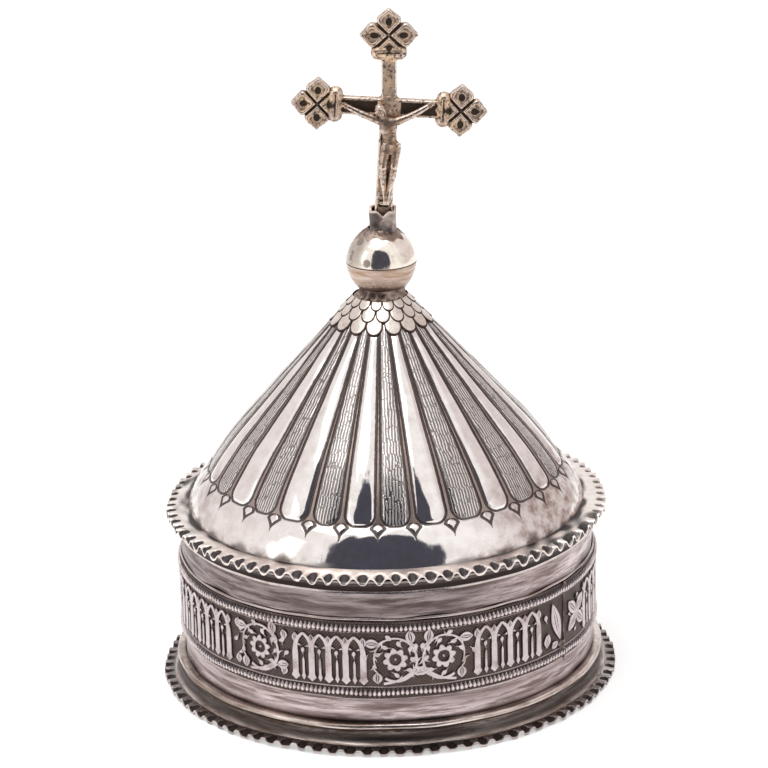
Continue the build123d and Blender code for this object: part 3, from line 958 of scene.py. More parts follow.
# %% Relief and lining
crown = np.clip(1 - (across / np.maximum(tongue_half, 0.2)) ** 2, 0, 1)
on_tongue = soft_step(inside_tongue, -0.1, 0.8)
zone = soft_step(upwards, -0.7, 0.4)
relief = -0.08 * zone * (1 - on_tongue)
relief += on_tongue * crown * np.where(hatched > 0.5, 0.1, 0.32) * np.sqrt(tongue_half / 2.8)
line_mask = 1 - soft_step(np.abs(inside_tongue + line_w / 2), line_w * 0.35, line_w * 0.75)
drop_line = 1 - soft_step(np.abs(inside_drop - 0.2), 0.2, 0.45)
relief -= 0.14 * line_mask * soft_step(upwards, -1.2, -0.3)
relief += 0.1 * soft_step(inside_drop, 0.5, 1.1) - 0.07 * drop_line
relief *= 1 - soft_step(cone_rows, cone_len - 11.0, cone_len - 9.2)
dents = ripple(azimuths, upwards, 61, 30, 0.25, 40) * 0.05
dents += ripple(azimuths, upwards, 62, 90, 0.9, 40) * 0.007
relief += dents * soft_step(cone_rows, 0.0, 2.5)
outer = on_round(row_r + relief * out_r, azimuths, row_z + relief * out_z)

lining_rows = 8
sheet_t = 1.2
inner_r, inner_z, _, _ = on_cone(np.linspace(cone_len, 0.0, lining_rows))
inner = on_round(inner_r - sheet_t, azimuths[:, :1], inner_z)
cone_points = np.concatenate([outer, inner], axis=1)


def with_lining(values, lining=0.0):
    """Values of the outer face, with one value for the lining."""
    return np.concatenate([values, np.full((len(values), lining_rows), lining)], axis=1).ravel()


from_front = (azimuths + pi) % FULL - pi
foot_reach = np.maximum(1.0 + 0.8 * ripple(azimuths, 0.0, 63, 55, 0.0), 0.4)
foot_line = 1 - soft_step(cone_rows / foot_reach, 0.2, 1.0)
foot_line *= soft_step(np.abs(from_front), 0.1, 0.45)
# Darker sides of the cone, most on the right and half as much on the far left: a brown film, and painted
# shade.
right_side = soft_step(from_front, 0.42, 0.95) * (1 - soft_step(from_front, 2.0, 2.8))
left_side = soft_step(-from_front, 0.9, 1.4) * 0.5
film_and_side_shade = np.maximum(right_side, left_side) * soft_step(-upwards, -12.0, 4.0)
foot_veil = 0.75 * soft_step(-upwards, 7.6, 10.0) * soft_step(np.abs(from_front), 0.25, 0.5)
film_and_side_shade = np.maximum(film_and_side_shade, foot_veil)
print("relief of the cone from %.2f to %.2f mm" % (relief.min(), relief.max()))

# %% [markdown]
# ## Finish of the lid
#
# The polished silver, the matt bands, the chased lines and the hatching are all on one sheet, so they
# are one material. Every point knows where it lies on its tongue: how far across, how far up, and how
# far inside the edge. The nodes turn those three numbers into lines, bands and rows of short strokes,
# which stay sharp at any distance, unlike colours stored on the points.

# %% Material of the lid
def hatch_strokes(place, over, up):
    """Rows of short upright strokes, shifted from row to row: 1 on a stroke."""
    sway = (noise(place, 0.5, 1.0) - 0.5) * 2.0
    level = up / 3.4 + sway
    chance = put(place.tree, "ShaderNodeTexWhiteNoise", {"W": level.whole()}, noise_dimensions="1D")
    lane = over / 0.7 + (outputs_of(chance)["Value"] * 0.5 + sway * 0.4)
    thick = fade(abs(lane.rest() - 0.5), 0.12, 0.3, 1.0, 0.0)
    return thick * fade(abs(level.rest() - 0.5), 0.42, 0.49, 1.0, 0.12)


lid_silver, tree = new_finish("lid_silver")
place = place_mm(tree)
over, up, depth_in = parts_of(read(tree, "tongue", "Vector"))
stains = use(tree, tarnish, Place=place, Patch=10.0, Cover=0.3)
marks = use(tree, scratches, Place=place, Stretch=(1.0, 1.0, 0.35))
dimples = use(tree, hammered, Place=place, Size=3.2)
unsure = (noise(place, 0.9, 4.0) - 0.5) * 0.28
inside = depth_in + unsure
line = fade(abs(inside + 0.22), 0.26, 0.44, 1.0, 0.0) * fade(up, -1.0, -0.4)
drop_edge = fade(abs(read(tree, "drop") + unsure * 0.5 - 0.22), 0.42, 0.58, 1.0, 0.0)
matt = fade(inside, -0.22, -0.3) * fade(up, -0.5, 0.2)
hatch = read(tree, "hatched") * fade(inside, 0.05, 0.25)
grooved = hatch * (1.0 - hatch_strokes(place, over, up))
dark = line.most(drop_edge).most(read(tree, "hollow"))
# The brown film and painted shade of the sides darken the silver and strengthen its clouds.
film_and_shade = read(tree, "film_and_side_shade")
mottled = fade(noise(place, 0.3, 7.0, 0.62), 0.36, 0.68) * (0.22 + film_and_shade * 0.65) + film_and_shade * 0.22
brown = (stains["Stain"] * 0.4).most(mottled)
skin = tint(brown, colour(249, 242, 238), colour(158, 134, 125))
skin = tint(grooved * 0.9, skin, colour(112, 105, 103))
skin = tint(matt * 0.9, skin, colour(150, 131, 124))
skin = tint(dark * 0.92, skin, colour(62, 51, 48))
gloss = 0.05 + brown * 0.12 + matt.most(dark) * 0.32 + hatch * 0.12
show_metal(skin, gloss, bump(marks["Lines"] * 0.02 - grooved, 0.04, bump(dimples["Height"], 0.02)))

on_sheet = [with_lining(across), with_lining(upwards), with_lining(inside_tongue, -9.0)]
masks = {"tongue": np.stack(on_sheet, axis=-1), "drop": with_lining(inside_drop, -1.0),
         "hatched": with_lining(hatched), "hollow": with_lining(foot_line * 0.8),
         "film_and_side_shade": with_lining(film_and_side_shade, 0.5)}
make_piece("lid_cone_dressed", cone_points, grid_faces(*cone_points.shape[:2]), lid_silver, "lid",
           ["lid_cone"], masks, crease=75)

# %% [markdown]
# ## Scales at the top of the cone
#
# Three rows of round scales cover the ends of the tongues. They are chased into the sheet, and stand
# up like roof tiles. In the grid of the cone their edges would blur, so each is a small domed grid of
# its own. It narrows to a rounded tip, and lies so that the row above covers its root.

# %% Scales
def scale_tile(azimuth, tip_len, root_len, half_angle, lift, seed):
    """Points, faces and hollow values of one scale, its tip at tip_len along the cone."""
    chance = np.random.default_rng(seed)
    whole = root_len - tip_len
    rounded = min(1.2 * half_angle * float(on_cone(tip_len)[0]), 0.62 * whole)
    bend = np.linspace(0.0, pi / 2, 12)
    down = np.append(np.linspace(0.0, whole - rounded, 5)[:-1], whole - rounded + rounded * np.sin(bend))
    width = np.append(np.ones(4), np.maximum(np.cos(bend), 0.02))
    tip = np.append(np.zeros(4), np.sin(bend))
    side = np.sin(np.linspace(-pi / 2, pi / 2, 15))[:, None]
    from_middle = np.sqrt((side * width) ** 2 + tip ** 2)
    length = root_len - down * chance.uniform(0.97, 1.03) + 0.0 * side
    radius, height, out_r, out_z = on_cone(length)
    turn = azimuth + chance.uniform(-0.015, 0.015) + half_angle * chance.uniform(0.97, 1.01) * side * width
    up = 0.1 + lift * (0.15 + 0.5 * down / whole) + 0.12 * (1 - from_middle ** 6)
    face = on_round(radius + up * out_r, turn, height + up * out_z)
    back = on_round(radius - 0.3 * out_r, turn, height - 0.3 * out_z)[:, ::-1]
    wide, tall = from_middle.shape
    rows = 2 * tall
    faces = grid_faces(wide, rows, False, True)
    for start in (0, (wide - 1) * rows):
        end = start + rows - 1
        faces += [[start + step, start + step + 1, end - step - 1, end - step] for step in range(tall - 1)]
    dark = np.concatenate([soft_step(from_middle, 0.76, 0.9), np.ones((wide, tall))], axis=1)
    return np.concatenate([face, back], axis=1), faces, dark


per_row = 16
plain_middle = (bands[4] + bands[5]) / 2
scale_rows = ((8.95, 3.6, 0, 0.2), (5.6, 1.0, 1, 0.35), (2.6, -0.6, 0, 0.5))
scales = Heap()
for row, (tip, root, shifted, lift) in enumerate(scale_rows):
    for index in range(per_row):
        turn = plain_middle + FULL / per_row * (index + 0.5 * shifted)
        scales.add(*scale_tile(turn, cone_len - tip, cone_len - root, pi / per_row, lift, 100 * row + index))
scale_silver = worn_silver(
    "scale_silver", (238, 228, 220), (176, 150, 132), (72, 58, 52), 0.3, patch=4.0, polish=0.12,
    mark_size=1.6, mark_depth=0.05)
scales.make("lid_scales", scale_silver, "lid", crease=50)

# %% [markdown]
# ## Knop and neck collar
#
# The knop is two raised half balls with a thin dark seam between them. The upper half is polished by
# the hand that lifts the lid, and the lower half is duller and brushed round. The finial stands a
# little off the axis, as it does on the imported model, so its pieces are turned first and then moved.
# The collar under the knop is lost in lumps of old solder.

# %% Knop and neck collar
knop_low = low_mm("knop_lower")
knop_high = high_mm("knop_lower")
knop_r = (knop_high[0] - knop_low[0]) / 2
knop_x = (knop_high[0] + knop_low[0]) / 2
knop_z = knop_high[2]
collar_top_z = knop_low[2]
socket_z = low_mm("cross_socket")[2]
stains_seen = [(-53.6, 43.9, 1.4), (-60.5, 22.5, 0.75), (-62.5, 14.0, 0.85), (-24.9, 10.1, 1.15)]


def ball_run(radius, start, end, steps=16):
    """Outline of the ball between two heights."""
    angles = np.linspace(asin((start - knop_z) / radius), asin((end - knop_z) / radius), steps)
    return [(radius * cos(angle), knop_z + radius * sin(angle)) for angle in angles]


def knop_dents(seed, depth):
    """Shallow dents in the ball that leave its seam round."""
    def dent(azimuth, radius, height):
        away = soft_step(np.abs(height - knop_z), 0.2, 2.0)
        return depth * ripple(azimuth, height, seed, 7, 0.5) * away * soft_step(radius, 5.0, 6.5), 0.0
    return dent


def seam_hollow(radius, height):
    """Dark at the seam and near the neck."""
    seam = 1 - soft_step(np.abs(height - knop_z), 0.02, 0.22)
    neck = 1 - soft_step(height - collar_top_z, 0.1, 3.4)
    return np.maximum(seam, 0.55 * neck)


def knop_soot(turn, radius, height):
    """Brown film on the left of the knop, and round stains, each with an azimuth, a rise and a size."""
    dark = 0.46 * soft_step(-turn, 0.1, 0.8)
    places = on_round(radius, turn, height)
    for azimuth, rise, size in stains_seen:
        up = radians(rise)
        middle = on_round(knop_r * cos(up), radians(azimuth), knop_z + knop_r * sin(up))
        away = np.linalg.norm(places - middle, axis=1)
        dark = np.maximum(dark, 0.6 * (1 - soft_step(away, size * 0.75, size)))
    return dark


def lumps(azimuth, radius, height):
    """Lumpy solder round the neck."""
    rim = soft_step(radius, 3.0, 4.6)
    sideways = 0.22 * ripple(azimuth, height, 81, 16, 1.6)
    return sideways * rim, 0.16 * ripple(azimuth, radius, 82, 13, 0.8) * rim


lower_outline = ball_run(knop_r, collar_top_z, knop_z - 0.14) + [(knop_r - 0.12, knop_z - 0.02)]
lower_outline += ball_run(knop_r - 0.8, knop_z - 0.02, collar_top_z, 10)
ring_piece("knop_lower_dressed", lower_outline, knop_dull, "knop_lower", seam_hollow,
           knop_dents(71, 0.07), steps=200, body="lid", shift=knop_x)
upper_outline = [(knop_r - 0.12, knop_z + 0.02)] + ball_run(knop_r, knop_z + 0.12, socket_z, 40)
upper_outline += [(1.95, socket_z), (1.95, socket_z - 0.8)]
upper_outline += ball_run(knop_r - 0.8, socket_z - 0.8, knop_z + 0.02, 10)
ring_piece("knop_upper_dressed", upper_outline, knop_bright, "knop_upper", seam_hollow,
           knop_dents(73, 0.05), knop_soot, steps=200, body="lid", shift=knop_x)

collar_z = low_mm("neck_collar")[2]
collar_r = (high_mm("neck_collar")[0] - low_mm("neck_collar")[0]) / 2
collar_outline = [(collar_r + 0.3, collar_z - 0.5), (collar_r, collar_z + 0.3),
                  (collar_r - 0.45, collar_z + 1.0), (collar_r - 0.45, collar_top_z - 0.3),
                  (collar_r - 0.25, collar_top_z + 0.35), (2.0, collar_top_z + 0.35), (2.0, collar_z - 0.5)]
ring_piece("neck_collar_dressed", fine(collar_outline, 0.4), solder_grey, "neck_collar",
           lambda radius, height: 0.2 + 0.3 * (1 - soft_step(radius, collar_r - 0.6, collar_r + 0.1)),
           lumps, steps=200, body="lid", shift=knop_x)

# %% [markdown]
# ## Solder round the socket
#
# A careless repair left a skirt of solder round the foot of the socket. It could be sculpted, but the
# ripple gives lumps that come out the same each time. The skirt is a thin ring that follows the ball
# of the knop, thick at the socket and feathered out at its ragged edge.

# %% Solder round the socket
skirt_steps = 144
azimuth = around(skirt_steps)[:, None]
part = np.linspace(0.0, 1.0, 14)[None, :]
skirt_r = 2.9
reach = 5.4 + 0.55 * ripple(azimuth, 0.0, 91, 12, 0.0)
radius = skirt_r + (reach - skirt_r) * part
height = knop_z + np.sqrt(np.maximum(knop_r ** 2 - radius ** 2, 1.0))
swell = 0.5 * (1 - part) ** 1.3 + 0.1 * ripple(azimuth, radius * 3, 92, 18, 1.0) * (1 - part ** 4)
top = on_round(radius, azimuth, height + np.maximum(swell, 0.05) * (1 - part ** 8))
under = on_round(radius, azimuth, height - 0.35)
points = np.concatenate([under, top[:, ::-1]], axis=1)
points[:, :, 0] += knop_x
dark = np.concatenate([np.ones_like(radius), (0.1 + 0.3 * part) * np.ones_like(radius)], axis=1)
make_piece("socket_solder", points, grid_faces(skirt_steps, points.shape[1]), solder_grey, "lid",
           (), {"hollow": dark.ravel()})

# %% [markdown]
# ## Socket
#
# The socket is a short tube, hammered nearly square to hold the cross, with its rim notched on each
# side. A square with soft corners comes from a high power in the formula of the circle. The rim drops
# where a notch is, and the inside is left dark.

# %% Socket
socket_low = low_mm("cross_socket")
socket_high = high_mm("cross_socket")
socket_x = (socket_high[0] + socket_low[0]) / 2
socket_half = (socket_high[0] - socket_low[0]) / 2
socket_top_z = socket_high[2] - 0.35
socket_floor = socket_z + 0.8
socket_steps = 160
corner_power = 4.5

angle = around(socket_steps)[:, None]
reach = (np.abs(np.cos(angle)) ** corner_power + np.abs(np.sin(angle)) ** corner_power) ** (-1 / corner_power)
over = np.minimum(np.abs(reach * np.sin(angle)), np.abs(reach * np.cos(angle))) * socket_half
notch = 1.2 * np.clip(1 - over / 1.35, 0, 1)
rim = socket_top_z - notch + 0.08 * ripple(angle, 0.0, 95, 9, 0.0)
part = np.linspace(0.0, 1.0, 10)[None, :]
flare = 0.93 + 0.05 * (1 - part) ** 3 + 0.06 * part ** 2
outer_r = socket_half * reach * flare + 0.05 * ripple(angle, part * 5, 96, 9, 1.0)
outer = on_round(outer_r, angle, socket_z + (rim - socket_z) * part)
edge = on_round((socket_half - 0.25) * reach, angle, rim + 0.05)
down = np.linspace(1.0, 0.0, 7)[None, :]
inner = on_round((socket_half - 0.62) * reach, angle, socket_floor + (rim - 0.1 - socket_floor) * down)
hub = on_round(1.3, angle, np.array([[socket_floor, socket_z]]))
points = np.concatenate([outer, edge, inner, hub], axis=1)
points[:, :, 0] += socket_x
dark = np.zeros(points.shape[:2])
dark[:, :9] = [0.8, 0.62, 0.54, 0.5, 0.48, 0.46, 0.46, 0.46, 0.44]
dark[:, :9] += 0.2 * soft_step(-np.sin(angle), 0.0, 0.5) * soft_step(part[:, :9], 0.1, 0.4)
dark[:, 11] = 0.4
dark[:, 12:] = 1.0
socket_silver = worn_silver(
    "socket_silver", (230, 212, 205), (158, 132, 123), OXIDE_AND_SHADE, 0.45, patch=2.6, polish=0.18, dull=0.4,
    mark_size=1.5, mark_depth=0.06)
make_piece("cross_socket_dressed", points, grid_faces(socket_steps, points.shape[1]), socket_silver,
           "lid", ["cross_socket"], {"hollow": dark.ravel()})

# %% [markdown]
# ## Washer inside the lid
#
# Under the top of the cone, a washer takes the pull of the cross. It is a flat ring with its upper edge
# filed off to fit inside the cone. It is turned like the bezel, and has the same dull finish.

# %% Washer inside the lid
washer_z = low_mm("tang_washer")[2]
washer_r, _, washer_top_z = high_mm("tang_washer")
washer_outline = [(washer_r - 0.1, washer_z), (washer_r, washer_z + 0.1), (washer_r - 0.89, washer_top_z),
                  (2.6, washer_top_z), (2.6, washer_z)]
ring_piece("tang_washer_dressed", fine(washer_outline, 0.6), inner_silver, "tang_washer",
           lambda radius, height: np.full_like(radius, 0.3), hand_laid(97, 0.04, 0.03, 7), steps=120,
           body="lid")

# %% [markdown]
# ## Wax for the castings
#
# The cross and its figure were modelled in wax and cast, so no outline turned about an axis can give
# their shape. Here the wax is a block of space on a fine grid, which holds at each point how far away
# the surface is. A shape is pressed on by keeping the smaller of two distances, with a soft fillet
# where they meet, and cut out in the same way with the sign turned round.

# %% Block of wax
def soft_union(first, second, blend):
    """Smaller of two distances, with a fillet where they meet."""
    if blend <= 0:
        return np.minimum(first, second)
    share = np.clip(0.5 + 0.5 * (second - first) / blend, 0.0, 1.0)
    return second + (first - second) * share - blend * share * (1 - share)


class Wax:
    """Block of space on a grid that holds the distance to the surface, below zero inside."""

    def __init__(self, low, high, step):
        self.axes = [np.arange(start, end + step, step) for start, end in zip(low, high)]
        self.step = step
        self.field = np.full([len(axis) for axis in self.axes], 1.0, dtype=np.float32)

    def near(self, low, high):
        """Slices of the block between two corners, and the places in it."""
        spans = []
        for axis, start, end in zip(self.axes, low, high):
            first = max(int(np.searchsorted(axis, start)) - 1, 0)
            spans.append(slice(first, int(np.searchsorted(axis, end)) + 1))
        cuts = [axis[span] for axis, span in zip(self.axes, spans)]
        return tuple(spans), np.meshgrid(*cuts, indexing="ij", sparse=True)

    def add(self, low, high, shape, blend=0.0):
        """Presses a shape on."""
        spans, places = self.near(low, high)
        self.field[spans] = soft_union(self.field[spans], shape(*places), blend)

    def cut(self, low, high, shape, blend=0.0):
        """Cuts a shape out."""
        spans, places = self.near(low, high)
        self.field[spans] = -soft_union(-self.field[spans], shape(*places), blend)

    def weigh(self, label):
        """Prints how much metal the model would take."""
        volume = float((self.field < 0).sum()) * (self.step / 10) ** 3
        print("%s: %.2f cubic centimetres of metal" % (label, volume))


# %% [markdown]
# ## From wax to metal
#
# A mesh is drawn where the distance is zero: one point in each cell that the surface passes through, at
# the mean of the places where it crosses the edges of the cell. The share of metal round each point is
# kept too, because hollows hold dirt and edges are rubbed bright.

# %% Casting
def metal_near(solid, reach):
    """Share of metal in the box round each point of the grid."""
    share = solid.astype(np.float32)
    for axis in range(3):
        wide = [(reach + 1, reach) if step == axis else (0, 0) for step in range(3)]
        total = np.cumsum(np.pad(share, wide), axis=axis)
        here = np.arange(share.shape[axis])
        ahead = np.take(total, here + 2 * reach + 1, axis=axis)
        share = (ahead - np.take(total, here, axis=axis)) / (2 * reach + 1)
    return share


def skin_faces(solid, number):
    """Faces round every grid line that the surface crosses, between numbered cells."""
    faces = []
    for axis in range(3):
        first, second = [step for step in range(3) if step != axis]
        here = [slice(1, -1)] * 3
        there = [slice(1, -1)] * 3
        here[axis] = slice(0, -1)
        there[axis] = slice(1, None)
        lines = np.argwhere(solid[tuple(here)] != solid[tuple(there)])
        ring = []
        for ahead, right in ((0, 0), (1, 0), (1, 1), (0, 1)):
            cell = lines.copy()
            cell[:, first] += ahead
            cell[:, second] += right
            ring.append(number[tuple(cell.T)])
        faces += np.stack(ring, axis=-1).tolist()
    return faces


def rubbed(points, faces):
    """Points moved twice halfway to their neighbours' mean, which rubs off the steps of the grid."""
    corners = np.array(faces)
    here = corners.ravel()
    ahead = np.roll(corners, -1, axis=1).ravel()
    behind = np.roll(corners, 1, axis=1).ravel()
    count = 2 * np.bincount(here, minlength=len(points))
    for _ in range(2):
        both = points[ahead] + points[behind]
        mean = [np.bincount(here, both[:, step], len(points)) / count for step in range(3)]
        points = (points + np.stack(mean, axis=-1)) / 2
    return points


def cast(wax, reach):
    """Points and faces where the distance is zero, and the share of metal round each point."""
    solid = wax.field < 0
    cells = [count - 1 for count in solid.shape]
    corners = [(i, j, k) for i in (0, 1) for j in (0, 1) for k in (0, 1)]

    def corner_of(values, corner):
        return values[tuple(slice(step, step + count) for step, count in zip(corner, cells))]

    filled = sum(corner_of(solid, corner).astype(np.int8) for corner in corners)
    crossed = (filled > 0) & (filled < 8)
    total = np.zeros((int(crossed.sum()), 3))
    edges = np.zeros(len(total))
    number = np.full(cells, -1)
    number[crossed] = np.arange(len(total))
    for axis in range(3):
        for corner in corners:
            if corner[axis]:
                continue
            far = tuple(1 if step == axis else value for step, value in enumerate(corner))
            here = corner_of(wax.field, corner)[crossed]
            there = corner_of(wax.field, far)[crossed]
            passes = (here < 0) != (there < 0)
            part = here / np.where(passes, here - there, 1.0)
            for step in range(3):
                total[:, step] += passes * (part if step == axis else corner[step])
            edges += passes
    places = np.argwhere(crossed) + total / edges[:, None]
    share = metal_near(solid, reach)[tuple(np.round(places).astype(int).T)]
    faces = skin_faces(solid, number)
    points = np.array([axis[0] for axis in wax.axes]) + wax.step * places
    return rubbed(points, faces), faces, share


# %% [markdown]
# ## Lean of the cross
#
# The cross was bent at its foot and leans to the right, and its top was bent back. It is modelled
# upright round its crossing and then leaned, so that its arms can be drawn along the axes. Each arm is
# a rounded bar, turned to its own direction.

# %% Place of the cross
cross_lean = radians(4.5)
upper_bend = radians(3.3)
stem_h = 27.12
bend_z = socket_z + 2.8
shaft_front = -1.2


def leaned(points):
    """Points drawn upright round the crossing, leaned with the cross."""
    up = points[:, 2] + stem_h
    along = points[:, 0] * cos(cross_lean) + up * sin(cross_lean)
    height = up * cos(cross_lean) - points[:, 0] * sin(cross_lean)
    return np.stack([socket_x + along, points[:, 1], bend_z + height], axis=-1)


def bar(half_x, half_y, half_z, rounding):
    """Distance to a box with rounded edges round the origin."""
    def distance(x, y, z):
        px = np.abs(x) - half_x + rounding
        py = np.abs(y) - half_y + rounding
        pz = np.abs(z) - half_z + rounding
        beyond = np.sqrt(np.maximum(px, 0) ** 2 + np.maximum(py, 0) ** 2 + np.maximum(pz, 0) ** 2)
        return beyond + np.minimum(np.maximum(px, np.maximum(py, pz)), 0) - rounding
    return distance


def along_arm(turn, shape, reach):
    """Shape drawn along +X from the crossing, turned to an arm."""
    def distance(x, y, z):
        out = x * cos(turn) + z * sin(turn) - reach
        side = z * cos(turn) - x * sin(turn)
        return shape(out, y, side)
    return distance


print("crossing at", [round(float(value), 2) for value in leaned(np.zeros((1, 3)))[0]])

# %% [markdown]
# ## Lobes and collars
#
# Three arms end in a grooved collar and four pointed lobes. A lobe has a rounded rim, a dished middle
# and a pit, which the caster pressed into the wax with a round tool. Its outline is a list of half
# widths, because no arc gives its ogee shape.

# %% Lobes and collars of the arms
lobe_half = np.array([
    (-1.0, -1.3), (0.3, 0.0), (2.3, 2.0), (2.9, 2.6), (3.4, 2.85), (3.9, 2.75), (4.4, 2.3), (4.8, 1.75),
    (5.2, 1.2), (5.6, 0.75), (5.9, 0.45), (6.2, 0.0), (7.2, -1.4)])


def lobes(x, y, z, stretch):
    """Distance to four lobes round the origin, the two at the sides stretched."""
    field = 1.0
    for out, side in ((x, z), (-x, z), (z / stretch, x), (-z / stretch, x)):
        edge = 0.72 * (np.abs(side) - np.interp(out, lobe_half[:, 0], lobe_half[:, 1]))
        web = np.maximum(edge - 0.32 * (1 - soft_step(out, 2.4, 3.2)), np.abs(y) - 0.75)
        inside = np.clip(-edge, 0, None)
        rim = 0.55 * (1 - np.sqrt(np.clip(1 - (1 - np.clip(inside / 0.55, 0, 1)) ** 2, 0, 1)))
        dish = 0.3 * soft_step(inside, 0.5, 0.9)
        pit = 1.1 * np.exp(-(((out - 3.2) / 0.75) ** 2 + (side / 0.62) ** 2) ** 2)
        lobe = np.maximum(edge, np.abs(y) - 1.45 + rim + dish + pit)
        field = np.minimum(field, np.minimum(web, lobe))
    return field


def grooved_collar(x, y, z):
    """Distance to a rounded bar with a lengthwise groove."""
    body = bar(1.75, 1.75, 4.2, 1.65)(x, y, z)
    groove = bar(0.42, 0.45, 2.9, 0.4)(x, np.abs(y) - 1.85, z)
    return np.maximum(body, -groove)


# %% [markdown]
# ## Model of the cross
#
# The bars are joined first, so that the channels can be cut through all of them, and the collars and
# lobes are pressed on last. The upper arm is narrower than the others and has a shallow channel. The
# front of the stem has a channel too, and a small bracket for the feet of the figure.

# %% Model the cross
side_arm = {"reach": 16.65, "half": 2.1, "rim": 0.62, "depth": 0.42, "stretch": 1.0, "dirt_and_shade": 0.4}
upper_arm = {"reach": 17.0, "half": 1.75, "rim": 0.42, "depth": 0.16, "stretch": 1.1, "dirt_and_shade": 0.0}
arms = ((0.0, side_arm), (pi, side_arm), (pi / 2 + upper_bend, upper_arm))
cross_wax = Wax((-24.6, -2.6, -28.6), (24.6, 2.6, 25.2), 0.15)
everywhere = ((-25, -3, -29), (25, 3, 26))
cross_wax.add(*everywhere, lambda x, y, z: bar(2.05, 1.2, 14.2, 0.6)(x, y, z + 14.2))
for turn, arm in arms:
    cross_wax.add(*everywhere, along_arm(turn, bar(7.0, 1.2, arm["half"], 0.6), 6.5), 0.9)
for turn, arm in arms:
    channel = bar(4.2, arm["depth"], arm["half"] - arm["rim"], 0.3)
    both_sides = along_arm(turn, lambda x, y, z: channel(x, np.abs(y) - 1.25, z), 6.9)
    cross_wax.cut(*everywhere, both_sides, 0.2)
    cross_wax.add(*everywhere, along_arm(turn, grooved_collar, arm["reach"] - 4.1), 0.35)
    tip = along_arm(turn, lambda x, y, z: lobes(x, y, z, arm["stretch"]), arm["reach"])
    cross_wax.add(*everywhere, tip, 0.12)
stem_channel = bar(1.5, 0.3, 8.4, 0.25)
cross_wax.cut((-3, -3, -24), (3, 0, 0), lambda x, y, z: stem_channel(x, y + 1.25, z + 11.6), 0.2)
bracket = bar(1.5, 0.5, 0.42, 0.35)
near_bracket = ((-3, -3, -25), (3, 0, -21))
cross_wax.add(*near_bracket, lambda x, y, z: bracket(x + 0.2, y + 1.4, z + 22.9 - 0.12 * x * x), 0.2)
cross_wax.cut(*near_bracket, lambda x, y, z: bracket(x + 0.2, y + 1.6, z + 23.7 - 0.12 * x * x), 0.15)
cross_wax.weigh("cross")


def sunk(places):
    """How deep points lie in the pits of the lobes and in the channels of the arms, 0 to 1."""
    deep = np.zeros(len(places))
    for turn, arm in arms:
        out = places[:, 0] * cos(turn) + places[:, 2] * sin(turn)
        side = places[:, 2] * cos(turn) - places[:, 0] * sin(turn)
        past = out - arm["reach"]
        for ahead, across in ((past, side), (-past, side), (side, past), (-side, past)):
            round_pit = ((ahead - 3.2) / 0.85) ** 2 + (across / 0.7) ** 2
            deep = np.maximum(deep, np.exp(-round_pit ** 2))
        # The channels are darkened too: dirt, and painted shade in the recess.
        channel = (np.abs(out - 6.9) < 4.1) & (np.abs(side) < 1.5) & (np.abs(places[:, 1]) < 1.1)
        deep = np.maximum(deep, arm["dirt_and_shade"] * channel)
    return deep


cross_points, cross_faces, cross_metal = cast(cross_wax, 5)
# Pits and channels are darker: oxide and dirt, with painted shade in these recesses.
cross_metal = cross_metal + 0.24 * sunk(cross_points)

# %% [markdown]
# ## Worn gilding
#
# The cross was gilded once. The gold is left on flat and sheltered faces, the silver shows where it
# was rubbed, the edges get a pale painted highlight over the rubbed silver, and the hollows are painted
# black, as oxide and as shade. Small pits are scattered over it. The share of metal near each point
# tells edges from hollows, and noise breaks the gold into patches.

# %% Material of the castings
def worn_gilding(name, gold, rubbed, pits):
    """Worn gilding over silver, with painted highlights on its edges, dark in its hollows as oxide and
    painted shade, and dark in its pits.
    """
    finish, tree = new_finish(name)
    place = place_mm(tree)
    stains = use(tree, tarnish, Place=place, Patch=3.2, Cover=0.5)
    grit = noise(place, 1.5, 4.0, 0.6)
    share = read(tree, "metal") + (grit - 0.5) * 0.16
    edge = fade(share, 0.45, 0.32)
    size = fade(noise(place, 0.22, 2.0), 0.4, 0.7, 0.05, 0.4)
    cells = put(tree, "ShaderNodeTexVoronoi", {"Vector": place, "Scale": 0.75, "Randomness": 1.0})
    pock = fade(outputs_of(cells)["Distance"], size * 0.5, size, 1.0, 0.0) * pits
    specks = fade(grit, 0.54, 0.63) * pits
    # Dark in the hollows, as oxide and painted shade, and in the pits and specks.
    dark = fade(share, 0.5, 0.63).most(pock).most(specks)
    skin = tint(stains["Stain"], colour(*rubbed), colour(*gold))
    # Painted highlight on the edges, over the rubbed silver.
    skin = tint(edge * 0.75, skin, colour(232, 217, 205))
    skin = tint(dark * 0.93, skin, colour(56, 46, 41))
    gloss = fade(edge, 0.0, 1.0, 0.44, 0.16) + dark * 0.25
    show_metal(skin, gloss, bump(pock, -0.15, bump(noise(place, 3.0, 4.0), 0.06)))
    return finish


def cast_piece(name, points, faces, finish, node, metal):
    """Gilded casting, leaned with the cross."""
    masks = {"metal": metal, "hollow": soft_step(metal, 0.52, 0.66)}
    return make_piece(name, leaned(points), faces, finish, "lid", [node], masks, crease=180)


cross_gilt = worn_gilding("cross_gilt", (236, 203, 168), (190, 166, 152), 0.85)
cast_piece("cross_dressed", cross_points, cross_faces, cross_gilt, "cross", cross_metal)

# %% [markdown]
# ## Tang
#
# The cross ends in a round tang that runs down through knop and cone. Its end was peened over the
# washer with a hammer, like a rivet, and that is all that holds the finial together. In wax it would
# need a taller block, so it is one more turned outline.

# %% Tang under the washer
tang_outline = [(0.02, washer_z - 0.9), (1.2, washer_z - 0.85), (1.9, washer_z - 0.5), (2.1, washer_z - 0.02),
                (1.15, washer_z), (1.15, bend_z - 1.0), (0.02, bend_z - 1.0)]
points, faces = turned(fine(tang_outline, 2.0), 48, hand_laid(99, 0.03, 0.03, 6))
points[:, 0] += socket_x
make_piece("cross_tang", points, faces, cross_gilt, "lid", (),
           {"metal": np.full(len(points), 0.5), "hollow": np.zeros(len(points))})

